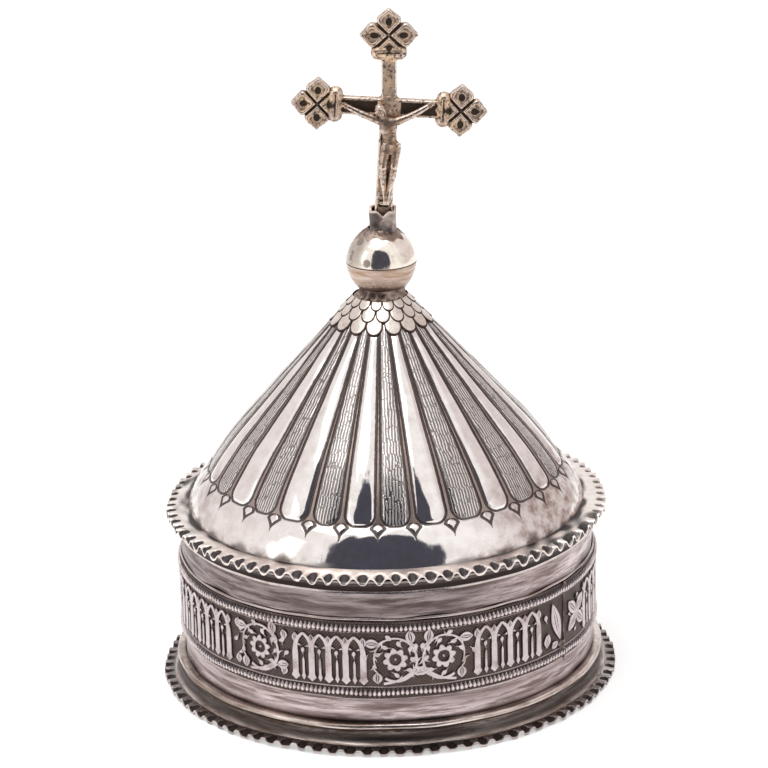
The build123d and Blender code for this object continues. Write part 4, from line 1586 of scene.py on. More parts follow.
# %% [markdown]
# ## Limbs and masses
#
# The figure is small and worn. It is built of limbs and rounded masses in the same wax. A limb is a line
# with a radius at each end, and a mass is an egg, so both need only a few numbers. Either can be pressed
# on or cut out.

# %% Limbs and masses
figure = Wax((-11.8, -5.1, -23.9), (11.2, -1.0, 2.3), 0.1)


def work(places, reach, distance, blend, cut):
    """Presses on or cuts out a shape that lies within reach of these places."""
    low = np.min(places, axis=0) - reach - 0.8
    high = np.max(places, axis=0) + reach + 0.8
    (figure.cut if cut else figure.add)(low, high, distance, blend)


def mass(centre, radii, blend, tilt=0.0, cut=False):
    """Egg, tilted in the plane of the cross."""
    def distance(x, y, z):
        px, py, pz = x - centre[0], y - centre[1], z - centre[2]
        side = (px * cos(tilt) + pz * sin(tilt)) / radii[0]
        front = py / radii[1]
        up = (pz * cos(tilt) - px * sin(tilt)) / radii[2]
        near = np.sqrt(side ** 2 + front ** 2 + up ** 2)
        steep = np.sqrt((side / radii[0]) ** 2 + (front / radii[1]) ** 2 + (up / radii[2]) ** 2)
        return near * (near - 1) / np.maximum(steep, 1e-6)
    work([centre], max(radii), distance, blend, cut)


def limb(start, start_r, end, end_r, blend, cut=False):
    """Tapered limb with round ends."""
    run = np.subtract(end, start)
    length2 = max(run @ run, 1e-9)

    def distance(x, y, z):
        px, py, pz = x - start[0], y - start[1], z - start[2]
        part = np.clip((px * run[0] + py * run[1] + pz * run[2]) / length2, 0, 1)
        away = np.sqrt((px - part * run[0]) ** 2 + (py - part * run[1]) ** 2 + (pz - part * run[2]) ** 2)
        return away - start_r - (end_r - start_r) * part
    work([start, end], max(start_r, end_r), distance, blend, cut)


def chain(places, radii, blend):
    """Limb through several places."""
    for step in range(len(places) - 1):
        limb(places[step], radii[step], places[step + 1], radii[step + 1], blend)


# %% [markdown]
# ## Body and legs
#
# The chest is tilted over the hips, and the legs hang side by side down to the crossed feet. The ribs
# and the navel are cut, and the toes are pressed on one by one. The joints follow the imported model, so
# the rivets go through the hands and feet.

# %% Body and legs
mass((0.0, -2.4, -4.4), (2.05, 1.35, 2.25), 0.3, 0.16)
mass((0.55, -2.2, -6.7), (1.5, 1.1, 1.7), 0.6)
mass((0.65, -2.95, -7.1), (0.95, 0.5, 0.9), 0.4)
mass((0.95, -2.35, -8.7), (2.0, 1.35, 1.6), 0.6)
for side in (-1, 1):
    mass((0.05 + side * 0.85, -3.2, -3.6), (0.9, 0.42, 0.7), 0.3, 0.15)
    for rib in range(3):
        start = (0.3 + side * 0.35, -3.45, -4.75 - 0.55 * rib)
        end = (0.3 + side * 1.7, -2.75, -5.1 - 0.6 * rib)
        limb(start, 0.1, end, 0.12, 0.15, cut=True)
mass((0.6, -3.15, -7.15), (0.16, 0.2, 0.22), 0.1, cut=True)
hips = {-1: (-0.1, -2.3, -9.2), 1: (1.9, -2.3, -9.2)}
knees = {-1: (-0.7, -3.1, -13.7), 1: (1.7, -3.0, -13.5)}
ankles = {-1: (-0.1, -2.0, -19.5), 1: (0.9, -2.1, -19.5)}
for side in (-1, 1):
    chain([hips[side], knees[side]], [1.3, 0.95], 0.25)
    mass((knees[side][0], knees[side][1] - 0.35, knees[side][2]), (0.62, 0.5, 0.7), 0.25)
    calf = (knees[side][0] * 0.6 + ankles[side][0] * 0.4 + 0.1 * side, -2.45, -15.9)
    chain([knees[side], calf, ankles[side]], [0.86, 0.95, 0.6], 0.25)
toes = {-1: (0.25, -2.15, -22.0), 1: (0.55, -2.75, -22.0)}
for side in (-1, 1):
    chain([ankles[side], toes[side]], [0.5, 0.55], 0.2)
    for toe in range(4):
        spread = 0.26 * (toe - 1.5)
        start = (toes[side][0] + spread, toes[side][1] - 0.1, toes[side][2] - 0.1)
        end = (start[0] + 0.06 * (toe - 1.5), start[1] - 0.12, start[2] - 0.65)
        limb(start, 0.17, end, 0.12, 0.08)
figure.weigh("body and legs")

# %% [markdown]
# ## Arms and hands
#
# The arms are thin and rise a little to the hands, one more than the other. A Mirror modifier would
# make them alike, so one loop draws both, each with its own joints. Each hand is a flat mass with four
# bent fingers and a thumb, which are only a few tenths of a millimetre thick.

# %% Arms and hands
shoulders = {-1: (-2.3, -2.45, -2.75), 1: (2.2, -2.45, -2.65)}
elbows = {-1: (-6.2, -2.15, -1.5), 1: (5.4, -2.15, -1.2)}
hands = {-1: (-10.0, -1.75, 0.1), 1: (9.3, -1.75, 1.2)}
for side in (-1, 1):
    chain([(0.0, -2.4, -3.0), shoulders[side]], [0.95, 0.85], 0.5)
    chain([shoulders[side], elbows[side], hands[side]], [1.0, 0.78, 0.56], 0.3)
    upper = tuple(a * 0.55 + b * 0.45 for a, b in zip(shoulders[side], elbows[side]))
    mass((upper[0], upper[1] - 0.15, upper[2]), (1.2, 0.6, 0.62), 0.4, side * 0.35)
    lower = tuple(a * 0.7 + b * 0.3 for a, b in zip(elbows[side], hands[side]))
    mass(lower, (1.1, 0.55, 0.52), 0.4, side * 0.4)
    turn = radians(24 if side < 0 else 36)
    out = (side * cos(turn), sin(turn))
    palm = (hands[side][0] + 0.15 * out[0], -1.7, hands[side][2] + 0.15 * out[1])
    mass(palm, (0.72, 0.32, 0.55), 0.2, side * turn)
    for finger in range(4):
        across = 0.27 * (finger - 1.5)
        start = (palm[0] + 0.45 * out[0] - across * out[1] * side, -1.72,
                 palm[2] + 0.45 * out[1] + across * abs(out[0]))
        bend = (start[0] + 0.5 * out[0], -2.1, start[2] + 0.5 * out[1])
        end = (bend[0] - 0.12 * out[0], -2.5, bend[2] - 0.12 * out[1])
        chain([start, bend, end], [0.16, 0.15, 0.12], 0.07)
    thumb = (palm[0] - 0.1 * out[0], -1.85, palm[2] + 0.5)
    chain([palm, thumb, (thumb[0] + 0.3 * out[0], -2.2, thumb[2] + 0.28)], [0.2, 0.18, 0.13], 0.1)
figure.weigh("with arms")

# %% [markdown]
# ## Loincloth
#
# The cloth is a smooth mass round the hips with six folds laid over it, knotted at one side, where its
# ends hang down. Short chains of limbs make good folds, because they blend into the mass below.

# %% Loincloth
mass((0.95, -2.35, -9.0), (2.0, 1.4, 1.55), 0.15)
for fold in range(6):
    start = (-0.85 + 0.12 * fold, -3.1 - 0.08 * fold, -8.0 - 0.46 * fold)
    middle = (0.9, -3.72 + 0.04 * fold, -8.55 - 0.36 * fold)
    end = (2.65, -3.0, -8.1 - 0.22 * fold)
    chain([start, middle, end], [0.2, 0.24, 0.18], 0.16)
for side in (-1, 1):
    hem = (0.9 + side * 1.05, -2.6, -10.4)
    mass(hem, (1.12, 1.05, 0.95), 0.25)
mass((2.55, -2.9, -8.2), (0.62, 0.6, 0.55), 0.15)
chain([(2.5, -3.0, -8.4), (2.75, -2.75, -9.4), (2.6, -2.4, -10.9)], [0.36, 0.42, 0.22], 0.15)
chain([(2.4, -3.1, -8.4), (2.3, -3.1, -9.3), (2.15, -2.8, -10.4)], [0.3, 0.32, 0.16], 0.12)
figure.weigh("with loincloth")

# %% [markdown]
# ## Head
#
# The head leans and nods, so its features are placed by three directions of its own. The face is a
# plain, calm one with closed eyes, laid out by the usual rule: eyes halfway up the head, nose halfway
# from eyes to chin.

# %% Head
neck = (-0.6, -2.6, -2.6)
head_tilt = radians(20)
head_nod = radians(14)
head_mid = (-2.05, -3.05, -0.55)
head_up = np.array([-sin(head_tilt), 0.0, cos(head_tilt)])
head_side = np.array([cos(head_tilt), 0.0, sin(head_tilt)])
forward = np.array([0.0, -1.0, 0.0])
head_front = forward * cos(head_nod) - head_up * sin(head_nod)
head_up = head_up * cos(head_nod) + forward * sin(head_nod)


def on_head(side, front, up):
    """Place from the middle of the head: to its left, forwards and up."""
    return tuple(np.array(head_mid) + side * head_side + front * head_front + up * head_up)


limb(neck, 0.8, on_head(0, -0.1, -0.6), 0.68, 0.3)
mass(on_head(0, -0.1, 0.35), (1.08, 1.15, 1.25), 0.2, head_tilt)
mass(on_head(0, 0.15, -0.45), (0.84, 0.88, 1.12), 0.3, head_tilt)
mass(on_head(0, 0.55, -1.2), (0.46, 0.42, 0.62), 0.25, head_tilt)
for side in (-1, 1):
    mass(on_head(side * 0.36, 1.02, 0.04), (0.24, 0.2, 0.17), 0.1, head_tilt, cut=True)
    mass(on_head(side * 0.36, 0.88, 0.02), (0.19, 0.15, 0.12), 0.05, head_tilt)
    limb(on_head(side * 0.14, 1.02, 0.26), 0.1, on_head(side * 0.6, 0.8, 0.2), 0.09, 0.1)
    mass(on_head(side * 0.45, 0.72, -0.42), (0.26, 0.2, 0.28), 0.2, head_tilt)
limb(on_head(0, 0.98, 0.16), 0.09, on_head(0, 1.2, -0.42), 0.16, 0.1)
limb(on_head(-0.24, 0.98, -0.78), 0.06, on_head(0.24, 0.98, -0.78), 0.06, 0.05, cut=True)
limb(on_head(-0.3, 0.9, -0.63), 0.1, on_head(0.3, 0.9, -0.63), 0.1, 0.1)
limb(on_head(-0.18, 0.92, -0.92), 0.1, on_head(0.18, 0.92, -0.92), 0.1, 0.1)
figure.weigh("with head")

# %% [markdown]
# ## Hair
#
# Nine locks on each side run from the parting to the shoulders, and five short strands make the beard.
# Blender's hair curves would be too thin for a casting, so each lock is a chain of limbs. The back of
# the figure is then cut flat where it lies on the cross, and the wax is cast.

# %% Hair
mass(on_head(0, -0.3, 0.6), (1.22, 1.2, 1.15), 0.12, head_tilt)
for lock in range(9):
    share = lock / 8
    for side in (-1, 1):
        start = on_head(side * 0.12, 0.75 - 1.3 * share, 1.35 - 0.1 * share)
        middle = on_head(side * (1.02 - 0.1 * share), 0.5 - 1.1 * share, 0.35)
        end = on_head(side * (1.05 - 0.2 * share), 0.15 - 0.9 * share, -0.75)
        tip = on_head(side * (0.95 - 0.2 * share), -0.1 - 0.6 * share, -1.9 - 0.3 * sin(5 * share))
        chain([start, middle, end, tip], [0.16, 0.22, 0.22, 0.14], 0.07)
for strand in range(5):
    side = 0.24 * (strand - 2)
    start = on_head(side, 0.72, -0.95)
    limb(start, 0.14, on_head(side * 0.5, 0.7, -1.75 + 0.06 * abs(strand - 2)), 0.1, 0.08)
figure.field = np.maximum(figure.field, figure.axes[1][None, :, None] - shaft_front)
figure.weigh("figure")
# The wide reach gives strong contrast: brighter painted highlights on raised parts and more painted shade in
# the recesses.
points, faces, metal = cast(figure, 8)
figure_gilt = worn_gilding("figure_gilt", (184, 152, 124), (146, 124, 112), 0.5)
cast_piece("corpus_dressed", points, faces, figure_gilt, "corpus", metal)

# %% [markdown]
# ## Rivets
#
# Three pins hold the figure, one through each hand and one through the feet. Only their domed heads
# show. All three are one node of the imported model, so they are one piece here.

# %% Rivets
rivet_rings = ((0.3, 0.9), (0.55, 0.0), (0.55, -0.12), (0.42, -0.26), (0.2, -0.31), (0.03, -0.32))
rivet_steps = 20
angle = around(rivet_steps)
rivets = Heap()
for x, y, z in (hands[-1], hands[1], (0.45, -2.75, -21.3)):
    rings = [np.stack([x + r * np.cos(angle), y - 0.45 + depth + 0 * angle, z + r * np.sin(angle)], axis=-1)
             for r, depth in rivet_rings]
    faces = capped_faces(rivet_steps, len(rings))
    rivets.add(np.stack(rings, axis=1), faces, np.zeros(rivet_steps * len(rings)))
points = leaned(np.vstack(rivets.points))
make_piece("corpus_rivets_dressed", points, rivets.faces, figure_gilt, "lid",
           ["corpus_rivets"], {"metal": np.full(len(points), 0.42), "hollow": np.concatenate(rivets.dark)})

# %% [markdown]
# ## Milled wires
#
# Above and below the frieze runs a wire that was rolled under a toothed wheel, which left a row of
# small drops with their points up. The wire is a fine grid, ten columns to each tooth, and the drops
# are raised out of it.

# %% Milled wires
strip_r = wall_r + 0.5
teeth = 296
per_tooth = 10
wire_h = 1.7
belly_part = 0.32
tooth_silver = worn_silver(
    "tooth_silver", (216, 204, 203), (168, 150, 145), (70, 61, 60), 0.35, patch=6.0, polish=0.24,
    grime=0.1, mark_depth=0.02)


def milled_wire(name, seed):
    """Toothed wire round the strip."""
    chance = np.random.default_rng(seed)
    azimuth = around(teeth * per_tooth)[:, None]
    tooth = azimuth / FULL * teeth
    index = np.floor(tooth).astype(int)
    side = np.abs((tooth - index) * 2 - 1)
    size = chance.uniform(0.92, 1.1, teeth)[index]
    lean = chance.uniform(-0.06, 0.06, teeth)[index]
    part = np.linspace(0.0, 1.0, 14)[None, :]
    up = np.clip(part * 1.02 + lean, 0, 1)
    belly = np.sqrt(np.clip(1 - ((belly_part - up) / belly_part) ** 2, 0, 1))
    point = np.clip(1 - (up - belly_part) / (1 - belly_part), 0, 1) ** 0.75
    inside = np.where(up < belly_part, belly, point) * size * 1.02 - side
    radius = strip_r + 0.06 + 0.55 * soft_step(inside, -0.1, 0.42)
    height = low_mm(name)[2] + wire_h * part + 0.05 * ripple(azimuth, 0.0, seed + 1, 40, 0.0)
    face = on_round(radius, azimuth, height)
    back = on_round(strip_r - 0.2, azimuth, height[:, [-1, 0]])
    points = np.concatenate([face, back], axis=1)
    dark = 0.9 * (1 - soft_step(inside, -0.12, 0.14))
    dark = np.concatenate([dark, np.ones((len(azimuth), 2))], axis=1)
    return make_piece(name + "_dressed", points, grid_faces(*points.shape[:2]), tooth_silver, "box",
                      [name], {"hollow": dark.ravel()}, crease=60)


milled_wire("lower_milled_wire", 111)
milled_wire("upper_milled_wire", 113)

# %% [markdown]
# ## Ground of the frieze
#
# The strip between the wires is sheet whose ground was hatched with a graver to hold dark oxide, so
# that the raised ornament shows pale against it. The hatching is two crossed sets of fine lines in
# the material. Two thin lines stand along the edges of the strip.

# %% Ground of the frieze
ground_silver, tree = new_finish("frieze_ground")
stains = use(tree, tarnish, Place=place_mm(tree), Patch=5.0, Cover=0.5)
along, up, _ = parts_of(read(tree, "unrolled", "Vector"))
cuts = [fade(abs(((along + up * lean) * 1.25).rest() - 0.5), 0.12, 0.3, 1.0, 0.0) for lean in (1.0, -1.0)]
cut = cuts[0].most(cuts[1])
bare = read(tree, "hollow")
worn = stains["Stain"] * 0.5 + stains["Specks"] * 0.5
field = tint(worn, colour(106, 93, 89), colour(158, 139, 131))
field = tint(cut * 0.8, field, colour(56, 48, 46))
skin = tint(bare, colour(206, 192, 188), field)
show_metal(skin, fade(bare, 0.0, 1.0, 0.25, 0.48), bump(cut * (bare * -1.0), 0.06))

frieze_z = strip_z + 2.9
frieze_top_z = strip_top_z - 2.9
line_heights = (frieze_z - 0.3, frieze_top_z + 0.3)
levels = [strip_z, strip_z + 0.35, *np.linspace(frieze_z + 0.3, frieze_top_z - 0.3, 12),
          strip_top_z - 0.35, strip_top_z]
for line_z in line_heights:
    levels += [line_z - 0.24, line_z - 0.14, line_z, line_z + 0.14, line_z + 0.24]
levels = np.array(sorted(levels))[None, :]
strip_steps = 720
azimuth = around(strip_steps)[:, None]
from_line = np.minimum(*[np.abs(levels - line_z) for line_z in line_heights])
thin_line = 1 - soft_step(from_line, 0.08, 0.22)
radius = strip_r + 0.22 * thin_line + 0.03 * ripple(azimuth, levels, 121, 50, 0.4)
face = on_round(radius, azimuth, levels + 0.04 * ripple(azimuth, 0.0, 122, 30, 0.0))
back = on_round(seat_r, azimuth, np.array([[strip_top_z, strip_z]]))
points = np.concatenate([face, back], axis=1)
dark = np.concatenate([np.repeat(1 - thin_line, strip_steps, axis=0), np.ones((strip_steps, 2))], axis=1)
laid_flat = np.zeros(points.shape)
laid_flat[:, :, 0] = azimuth * strip_r
laid_flat[:, :, 1] = points[:, :, 2]
make_piece("frieze_band_dressed", points, grid_faces(*points.shape[:2]), ground_silver, "box",
           ["frieze_band"], {"hollow": dark.ravel(), "unrolled": laid_flat.reshape(-1, 3)})

# %% [markdown]
# ## Raised ornament of the frieze
#
# The ornament is drawn on the unrolled strip, as a graver would set it out, and then wrapped round
# the box. Every stem, leaf and arch is a ribbon with a flat top and steep sides. A ribbon needs only
# a line of points and a width at each, so a few short functions draw all of it.

# %% Ribbons
ornament = Heap()
relief_h = 0.42
sunk_in = -0.15


def wrap(along, height, up):
    """Places on the box for lengths along the unrolled strip."""
    return on_round(strip_r + up, np.asarray(along) / strip_r, height)


def ribbon(line, widths):
    """Raised ribbon along a line of (along, height) points."""
    line = np.asarray(line, dtype=float)
    count = len(line)
    ahead = np.gradient(line, axis=0)
    ahead /= np.maximum(np.hypot(ahead[:, 0], ahead[:, 1]), 1e-6)[:, None]
    side = np.stack([-ahead[:, 1], ahead[:, 0]], axis=-1)
    half = np.broadcast_to(np.asarray(widths, dtype=float), count)[:, None] / 2
    top = half - np.minimum(0.09, half * 0.5)
    sections = []
    for offset, up in ((half, sunk_in), (half, relief_h * 0.55), (top, relief_h), (-top, relief_h),
                       (-half, relief_h * 0.55), (-half, sunk_in)):
        place = line + side * offset
        sections.append(wrap(place[:, 0], place[:, 1], up))
    faces = grid_faces(count, 6, False, True)
    faces.append(list(range(6)))
    faces.append([6 * (count - 1) + corner for corner in range(5, -1, -1)])
    ornament.add(np.stack(sections, axis=1), faces, np.tile([1.0, 0.55, 0.0, 0.0, 0.55, 1.0], count))


def curve(start, end, bow, steps=9):
    """Line from start to end that bows sideways."""
    start, end = np.asarray(start, float), np.asarray(end, float)
    part = np.linspace(0, 1, steps)[:, None]
    run = end - start
    normal = np.array([-run[1], run[0]]) / max(np.hypot(*run), 1e-6)
    return start + run * part + normal * bow * np.sin(pi * part)


def polar(centre, angle, radius, wide=1.0, high=1.0):
    """Place on the strip at an angle and a distance from another."""
    return centre[0] + radius * wide * np.cos(angle), centre[1] + radius * high * np.sin(angle)


# %% [markdown]
# ## Leaves, buds, thorns and flowers
#
# Four small shapes turn up all over the frieze. A leaf is three ribbons that swell in the middle, a bud
# and a thorn are one ribbon each, and a flower is a ring of petals round a sunk middle with a dot.

# %% Leaves, buds, thorns and flowers
def leaf(root, angle, length, width):
    """Leaf of three strips that meet at the root and at the tip."""
    swell = np.sin(pi * np.linspace(0, 1, 9)) ** 0.7
    tip = polar(root, angle, length)
    for bow, thick in ((0.4, 0.46), (-0.4, 0.46), (0.0, 0.26)):
        ribbon(curve(root, tip, width * bow), np.maximum(width * thick * swell, 0.12))


def bud(place, angle, size):
    """Round bud on a short stalk."""
    line = curve(place, polar(place, angle, size * 1.9), size * 0.15, 8)
    ribbon(line, np.array([0.2, 0.22, 0.3, 0.62, 0.95, 1.0, 0.8, 0.25]) * size)


def thorn(place, angle, length):
    """Thorn that narrows from the stem to its point."""
    line = curve(place, polar(place, angle, length), 0.12 * length, 6)
    ribbon(line, [0.7, 0.62, 0.5, 0.38, 0.26, 0.12])


def flower(centre, size, petals, turn):
    """Flower with pointed petals round a sunk middle with a dot."""
    steps = petals * 10
    angle = around(steps)[:, None]
    reach = size * (0.68 + 0.32 * np.abs(np.cos(petals * (angle - turn) / 2)) ** 0.8)
    rings = [(reach, sunk_in), (reach, 0.26), (reach - 0.12, relief_h), (reach * 0.78, 0.36),
             (size * 0.52, relief_h), (size * 0.46, 0.26), (size * 0.44, sunk_in)]
    points = np.concatenate([wrap(*polar(centre, angle, ring), up) for ring, up in rings], axis=1)
    ornament.add(points, grid_faces(steps, 7), np.tile([1.0, 0.5, 0.0, 0.12, 0.0, 0.6, 1.0], steps))
    steps = 14
    angle = around(steps)[:, None]
    rings = [(0.34, sunk_in), (0.32, 0.12), (0.2, 0.28), (0.06, 0.32)]
    points = np.concatenate([wrap(*polar(centre, angle, ring), up) for ring, up in rings], axis=1)
    ornament.add(points, capped_faces(steps, 4), np.tile([1.0, 0.4, 0.1, 0.1], steps))


# %% [markdown]
# ## Roundels
#
# A roundel is a ring of thorny stem round a flower, with leaves in its corners and buds between them.
# In a pair, the second is a mirror image of the first. A roundel that stands alone has room for more
# leaves at its sides. One function with these two choices draws them all, so that they match.

# %% Roundels
frieze_mid = (frieze_z + frieze_top_z) / 2


def roundel(middle, mirrored=False, size=5.3, petals=9, single=True):
    """One flower in a ring of thorny stem, with leaves in the corners."""
    centre = (middle, frieze_mid + 0.1)
    flip = -1 if mirrored else 1

    def turn_of(degrees):
        return pi - radians(degrees) if mirrored else radians(degrees)

    start = turn_of(-118)
    angle = np.linspace(start, turn_of(205), 40)
    uneven = size * (1 + 0.05 * np.sin(angle * 2 + start))
    ribbon(np.stack(polar(centre, angle, uneven), axis=-1), np.linspace(0.8, 0.496, 40))
    flower(centre, 2.95, petals, 0.2)
    for step, degrees in enumerate((172, 150, 128, 100, 72, 45, 20, -5, -30, -55, -80, 195)):
        spot = turn_of(degrees)
        thorn(polar(centre, spot, size), spot + (0.7 if step % 2 else pi - 0.8), 1.45)
    foot = (middle - flip * size * 0.55, frieze_z + 0.7)
    end = (middle + flip * size * 0.9, centre[1] - 2.2)
    ribbon(curve(foot, end, -flip * 0.9, 14), np.linspace(0.8, 0.7, 14))
    for degrees, far, long in ((128, 1.26, 3.4), (50, 1.24, 3.2), (-40, 1.26, 3.1), (-140, 1.16, 2.8)):
        spot = turn_of(degrees)
        root = polar(centre, spot, size * far, 0.93, 0.8)
        leaf(root, spot + flip * 0.9, long, 1.9)
        ribbon(curve(polar(centre, spot - flip * 0.45, size), root, -flip * 0.3), 0.5)
    if single:
        for degrees, far in ((158, 1.42), (202, 1.4), (22, 1.42), (-22, 1.4)):
            spot = turn_of(degrees)
            root = polar(centre, spot, size * far, 1.0, 1.2)
            leaf(root, spot + 1.4 * copysign(1, sin(2 * spot)), 2.3, 1.5)
            bud(root, spot + pi, 0.9)
    for degrees, far in ((165, 1.26), (92, 1.16), (18, 1.26), (-12, 1.26), (-105, 0.7), (62, 0.72),
                         (-20, 0.7), (140, 0.72), (-62, 0.72), (20, 0.7), (105, 0.7)):
        spot = turn_of(degrees)
        bud(polar(centre, spot, size * far, 1.0, 0.86), spot + flip * 1.1, 1.15)


# %% [markdown]
# ## Arcading
#
# The panels between the roundels hold a row of pointed arches on thick shafts, an ornament that any
# workshop could have used. The number of arches follows from the length of the panel, so panels of any
# length look alike.

# %% Arcading
def lancets(first, last):
    """Row of pointed arches on thick shafts with a bud in each."""
    bays = max(2, round((last - first) / 4.6))
    bay = (last - first) / bays
    foot = frieze_z + 1.0
    spring = frieze_z + 7.6
    peak = frieze_top_z - 0.7
    shaft_w = 1.6
    for index in range(bays + 1):
        x = first + bay * index
        ribbon([(x, foot - 0.6), (x, foot + 0.35), (x, foot + 1.2), (x, spring - 0.3), (x, spring + 0.8)],
               [0.15, 2.3, shaft_w, shaft_w, shaft_w * 0.8])
        leaf((x, peak - 2.6), pi / 2, 2.5, 1.3)
    for index in range(bays):
        x = first + bay * (index + 0.5)
        for side in (-1, 1):
            line = curve((x + side * bay / 2, spring + 0.5), (x, peak), -side * 0.55, 10)
            ribbon(line, np.linspace(1.4, 0.7, 10))
        for side in (-1, 1):
            thorn((x + side * bay * 0.3, spring + 1.6), pi / 2 + side * 1.9, 0.8)
        bud((x, spring - 0.9), pi / 2, 1.0)
        ribbon([(x, foot - 0.4), (x, foot + 0.5), (x, foot + 1.3), (x, spring - 2.2), (x, spring - 1.3)],
               [0.15, 1.2, 0.7, 0.7, 0.2])


# %% [markdown]
# ## Setting out the frieze
#
# Panels of arcading take turns with roundels, single or in pairs, all the way round. On the right of
# the front, the strip ends in a few leaves, and a four-leaved flower stands beyond the joint. An Array
# modifier would space them evenly, but they were fitted in by eye, so each has its own azimuth.

# %% Set out the frieze
def on_strip(degrees):
    """Length along the strip for an azimuth in degrees."""
    return radians(degrees) * strip_r


for first, last in ((-73, -48), (-25.5, -7), (23.5, 43.5), (66.5, 88), (115.5, 137.5), (160, 182),
                    (208.5, 230.5), (252.5, 283.5)):
    lancets(on_strip(first), on_strip(last))
roundel(on_strip(-36.5))
for left in (1.4, 96.0, 189.0):
    roundel(on_strip(left), False, 5.1, 8, False)
    roundel(on_strip(left + 12.8), True, 5.1, 8, False)
for middle in (148.8, 241.5):
    roundel(on_strip(middle))
end_root = (on_strip(52.4), frieze_z + 2.2)
end_tip = (on_strip(49.2), frieze_top_z - 1.0)
leaf(end_root, atan2(end_tip[1] - end_root[1], end_tip[0] - end_root[0]), dist(end_root, end_tip), 2.6)
leaf((on_strip(46.4), frieze_z + 1.6), radians(75), 3.4, 1.8)
leaf((on_strip(48.6), frieze_z + 1.0), radians(20), 2.6, 1.5)
bud((on_strip(46.8), frieze_mid + 1.2), radians(100), 1.2)
star = (on_strip(61.0), frieze_mid)
for step in range(4):
    angle = radians(45 + 90 * step)
    leaf(star, angle, 5.2, 2.4)
    bud(polar(star, angle + 0.8, 1.0, 2.6, 3.4), angle, 0.8)
flower(star, 1.5, 4, 0.0)
relief_silver = worn_silver(
    "relief_silver", (206, 194, 195), (160, 143, 140), (66, 57, 56), 0.36, patch=5.0, polish=0.22,
    mark_size=1.5, mark_depth=0.03, grime=0.12)
ornament.make("frieze_ornament", relief_silver, "box", crease=30)

# %% [markdown]
# ## Seam of the frieze
#
# The two ends of the strip lap over each other on the right of the front, and solder covers the lap: a
# ragged upright bead, with larger lumps at its ends. Each is a low dome with an uneven outline, wrapped
# round the box like the ornament.

# %% Seam of the frieze
dome_steps = 48
dome_rows = ((1.0, -0.15), (1.0, 0.05), (0.9, 0.6), (0.7, 0.85), (0.45, 0.95), (0.2, 1.0), (0.03, 1.0))
# Dark at the foot of each lump, with a painted highlight on its steep flank.
dome_dark_and_highlight = [1.0, 0.7, 0.35, 0.5, 0.55, 0.58, 0.58]
angle = around(dome_steps)[:, None]
part, rise = np.array(dome_rows).T[:, None, :]
seam = Heap()
for degrees, centre_z, half_w, half_h, tall, seed in (
        (53.4, frieze_z + 0.6, 1.5, 1.0, 0.5, 133), (54.6, frieze_mid, 0.28, 8.8, 0.35, 135),
        (54.9, strip_top_z - 1.2, 0.9, 1.4, 0.5, 137), (54.5, strip_z + 1.1, 0.9, 1.2, 0.5, 139)):
    ragged = part * (1 + 0.1 * ripple(angle, 0.0, seed, 9, 0.0))
    bumps = 0.05 * ripple(angle, part * 6, seed + 1, 8, 1.0) * (part < 1)
    places = polar((on_strip(degrees), centre_z), angle, ragged, half_w, half_h)
    seam.add(wrap(*places, rise * tall + bumps), capped_faces(dome_steps, len(dome_rows)),
             np.tile(dome_dark_and_highlight, dome_steps))
seam_silver = worn_silver(
    "seam_solder_silver", (176, 160, 154), (116, 100, 94), OXIDE_AND_SHADE, 0.55, patch=3.0, polish=0.22,
    mark_size=1.4)
seam.make("frieze_seam_solder", seam_silver, "box")

# %% [markdown]
# ## World
#
# The picture has a plain white background. The world is white for the camera and for reflections, so
# that the metal has something white to mirror, and softer for everything else. The Light Path node
# tells the two apart.

# %% World
def seen_directly(tree):
    """1 for rays from the camera, in reflections and through glass, 0 for light that is scattered."""
    path = outputs_of(put(tree, "ShaderNodeLightPath"))
    return path["Is Camera Ray"].most(path["Is Glossy Ray"]).most(path["Is Transmission Ray"])


WHITE = (1, 1, 1, 1)
world = bpy.data.worlds.new("white_studio")
scene.world = world
world.use_nodes = True
tree = world.node_tree
tree.nodes.clear()
soft, bright = [Value(put(tree, "ShaderNodeBackground", {"Color": WHITE, "Strength": strength}).outputs[0])
                for strength in (0.55, 1.0)]
show(put(tree, "ShaderNodeMixShader", {0: seen_directly(tree), 1: soft, 2: bright}), "ShaderNodeOutputWorld")
print("world:", world.name)

# %% [markdown]
# ## Floor
#
# A pale floor catches the shadow. It glows a little for the camera and for reflections, so that it
# runs into the white background without an edge.

# %% Floor
floor_finish, tree = new_finish("pale_floor")
paper = put(tree, "ShaderNodeBsdfDiffuse", {"Color": (0.86, 0.855, 0.85, 1)})
glow = put(tree, "ShaderNodeEmission", {"Color": WHITE, "Strength": seen_directly(tree) * 0.54})
show(put(tree, "ShaderNodeAddShader", {0: Value(paper.outputs[0]), 1: Value(glow.outputs[0])}))

floor_half = 3
corners = [(x * floor_half, y * floor_half, 0) for x, y in ((-1, -1), (1, -1), (1, 1), (-1, 1))]
floor_mesh = bpy.data.meshes.new("studio_floor")
floor_mesh.from_pydata(corners, [], [(0, 1, 2, 3)])
floor_mesh.materials.append(floor_finish)
new_object("studio_floor", floor_mesh)
print("floor:", 2 * floor_half, "m wide")

# %% [markdown]
# ## Lamps
#
# Three soft lamps light the box, the strongest from above. They are large for their distance, like
# softboxes in a studio, so the shadows have no hard edge.

# %% Lamps
def soft_lamp(name, place, size, watts):
    """Square area lamp that points at the middle of the lid."""
    data = bpy.data.lights.new(name, "AREA")
    data.shape = "SQUARE"
    data.size = size
    data.energy = watts
    lamp = new_object(name, data)
    lamp.location = place
    lamp.rotation_mode = "QUATERNION"
    lamp.rotation_quaternion = (Vector((0.0, 0.0, 0.07)) - lamp.location).to_track_quat("-Z", "Y")
    print("%s: %.1f W" % (name, watts))


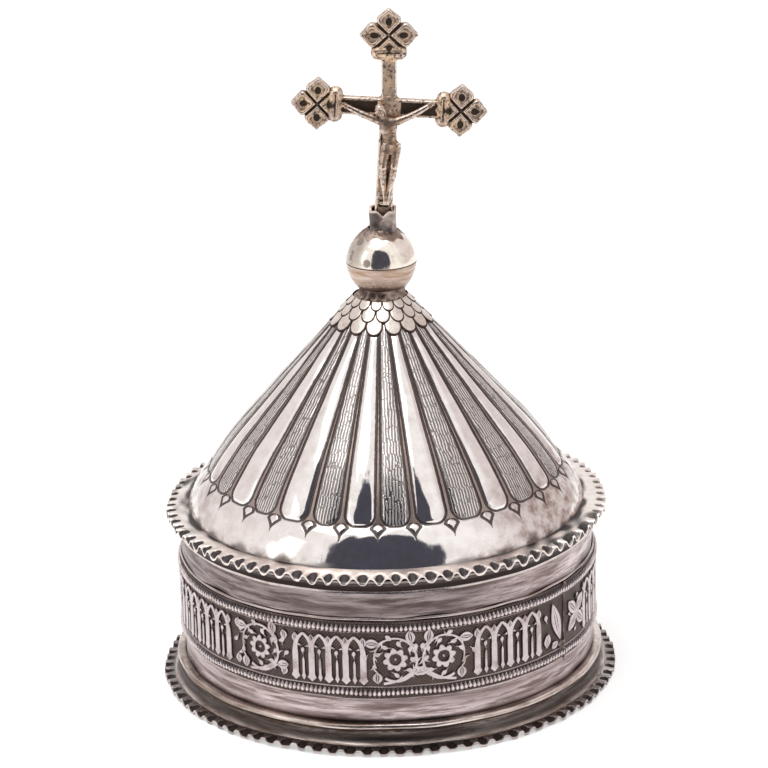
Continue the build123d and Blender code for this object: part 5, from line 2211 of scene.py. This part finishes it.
soft_lamp("overhead_softbox", (-0.15, -0.1, 0.75), 0.6, 1.6)
soft_lamp("left_softbox", (-0.7, -0.25, 0.35), 0.45, 0.5)
soft_lamp("right_softbox", (0.7, -0.1, 0.4), 0.4, 0.2)

# %% [markdown]
# ## Cards
#
# Polished silver in an all-white room looks flat. A dark card stands where the front of the studio would
# be, and draws the slate patches on the lid, and two grey cards shade the sides. Each is a piece of a
# dome round the box. Only reflections see the cards, so they cast no shadow.

# %% Cards
def glossy_card(name, azimuths, elevations, reach_mm, shade, soft=0.0):
    """Piece of a dome round the object that only reflections see, white at its soft sides."""
    part = np.linspace(0.0, 1.0, 65)
    side = np.radians(azimuths[0] + (azimuths[1] - azimuths[0]) * part)[:, None]
    rise = np.radians(elevations[0] + (elevations[1] - elevations[0]) * part)[None, :]
    points = on_round(reach_mm * np.cos(rise), side, 60.0 + reach_mm * np.sin(rise))
    from_middle = np.abs(2 * part - 1) ** 3
    corner = from_middle[:, None] + from_middle[None, :]
    cover = soft_step(np.minimum(part, 1 - part), -0.01, soft)[:, None] * soft_step(1 - corner, -0.02, 0.08)
    mesh = bpy.data.meshes.new(name)
    mesh.from_pydata((points.reshape(-1, 3) * MM).tolist(), [], grid_faces(*cover.shape, False, False))
    store(mesh, "cover", cover.ravel())
    finish, tree = new_finish(name)
    shown = tint(read(tree, "cover"), WHITE, shade)
    show(put(tree, "ShaderNodeEmission", {"Color": shown, "Strength": 1.0}))
    mesh.materials.append(finish)
    card = new_object(name, mesh)
    card.visible_camera = False
    card.visible_diffuse = False
    card.visible_shadow = False
    card.visible_transmission = False
    print("%s: %d faces" % (name, len(mesh.polygons)))


glossy_card("dark_front_card", (-35, 31), (-16, 54), 420.0, (0.07, 0.073, 0.095, 1))
glossy_card("grey_left_card", (-165, -68), (-4, 66), 700.0, (0.88, 0.85, 0.85, 1), 0.3)
glossy_card("grey_right_card", (58, 165), (-4, 66), 700.0, (0.78, 0.73, 0.73, 1), 0.3)

# %% [markdown]
# ## Colour view
#
# Colours are shown with the Standard view transform.

# %% Finish
scene.view_settings.view_transform = "Standard"
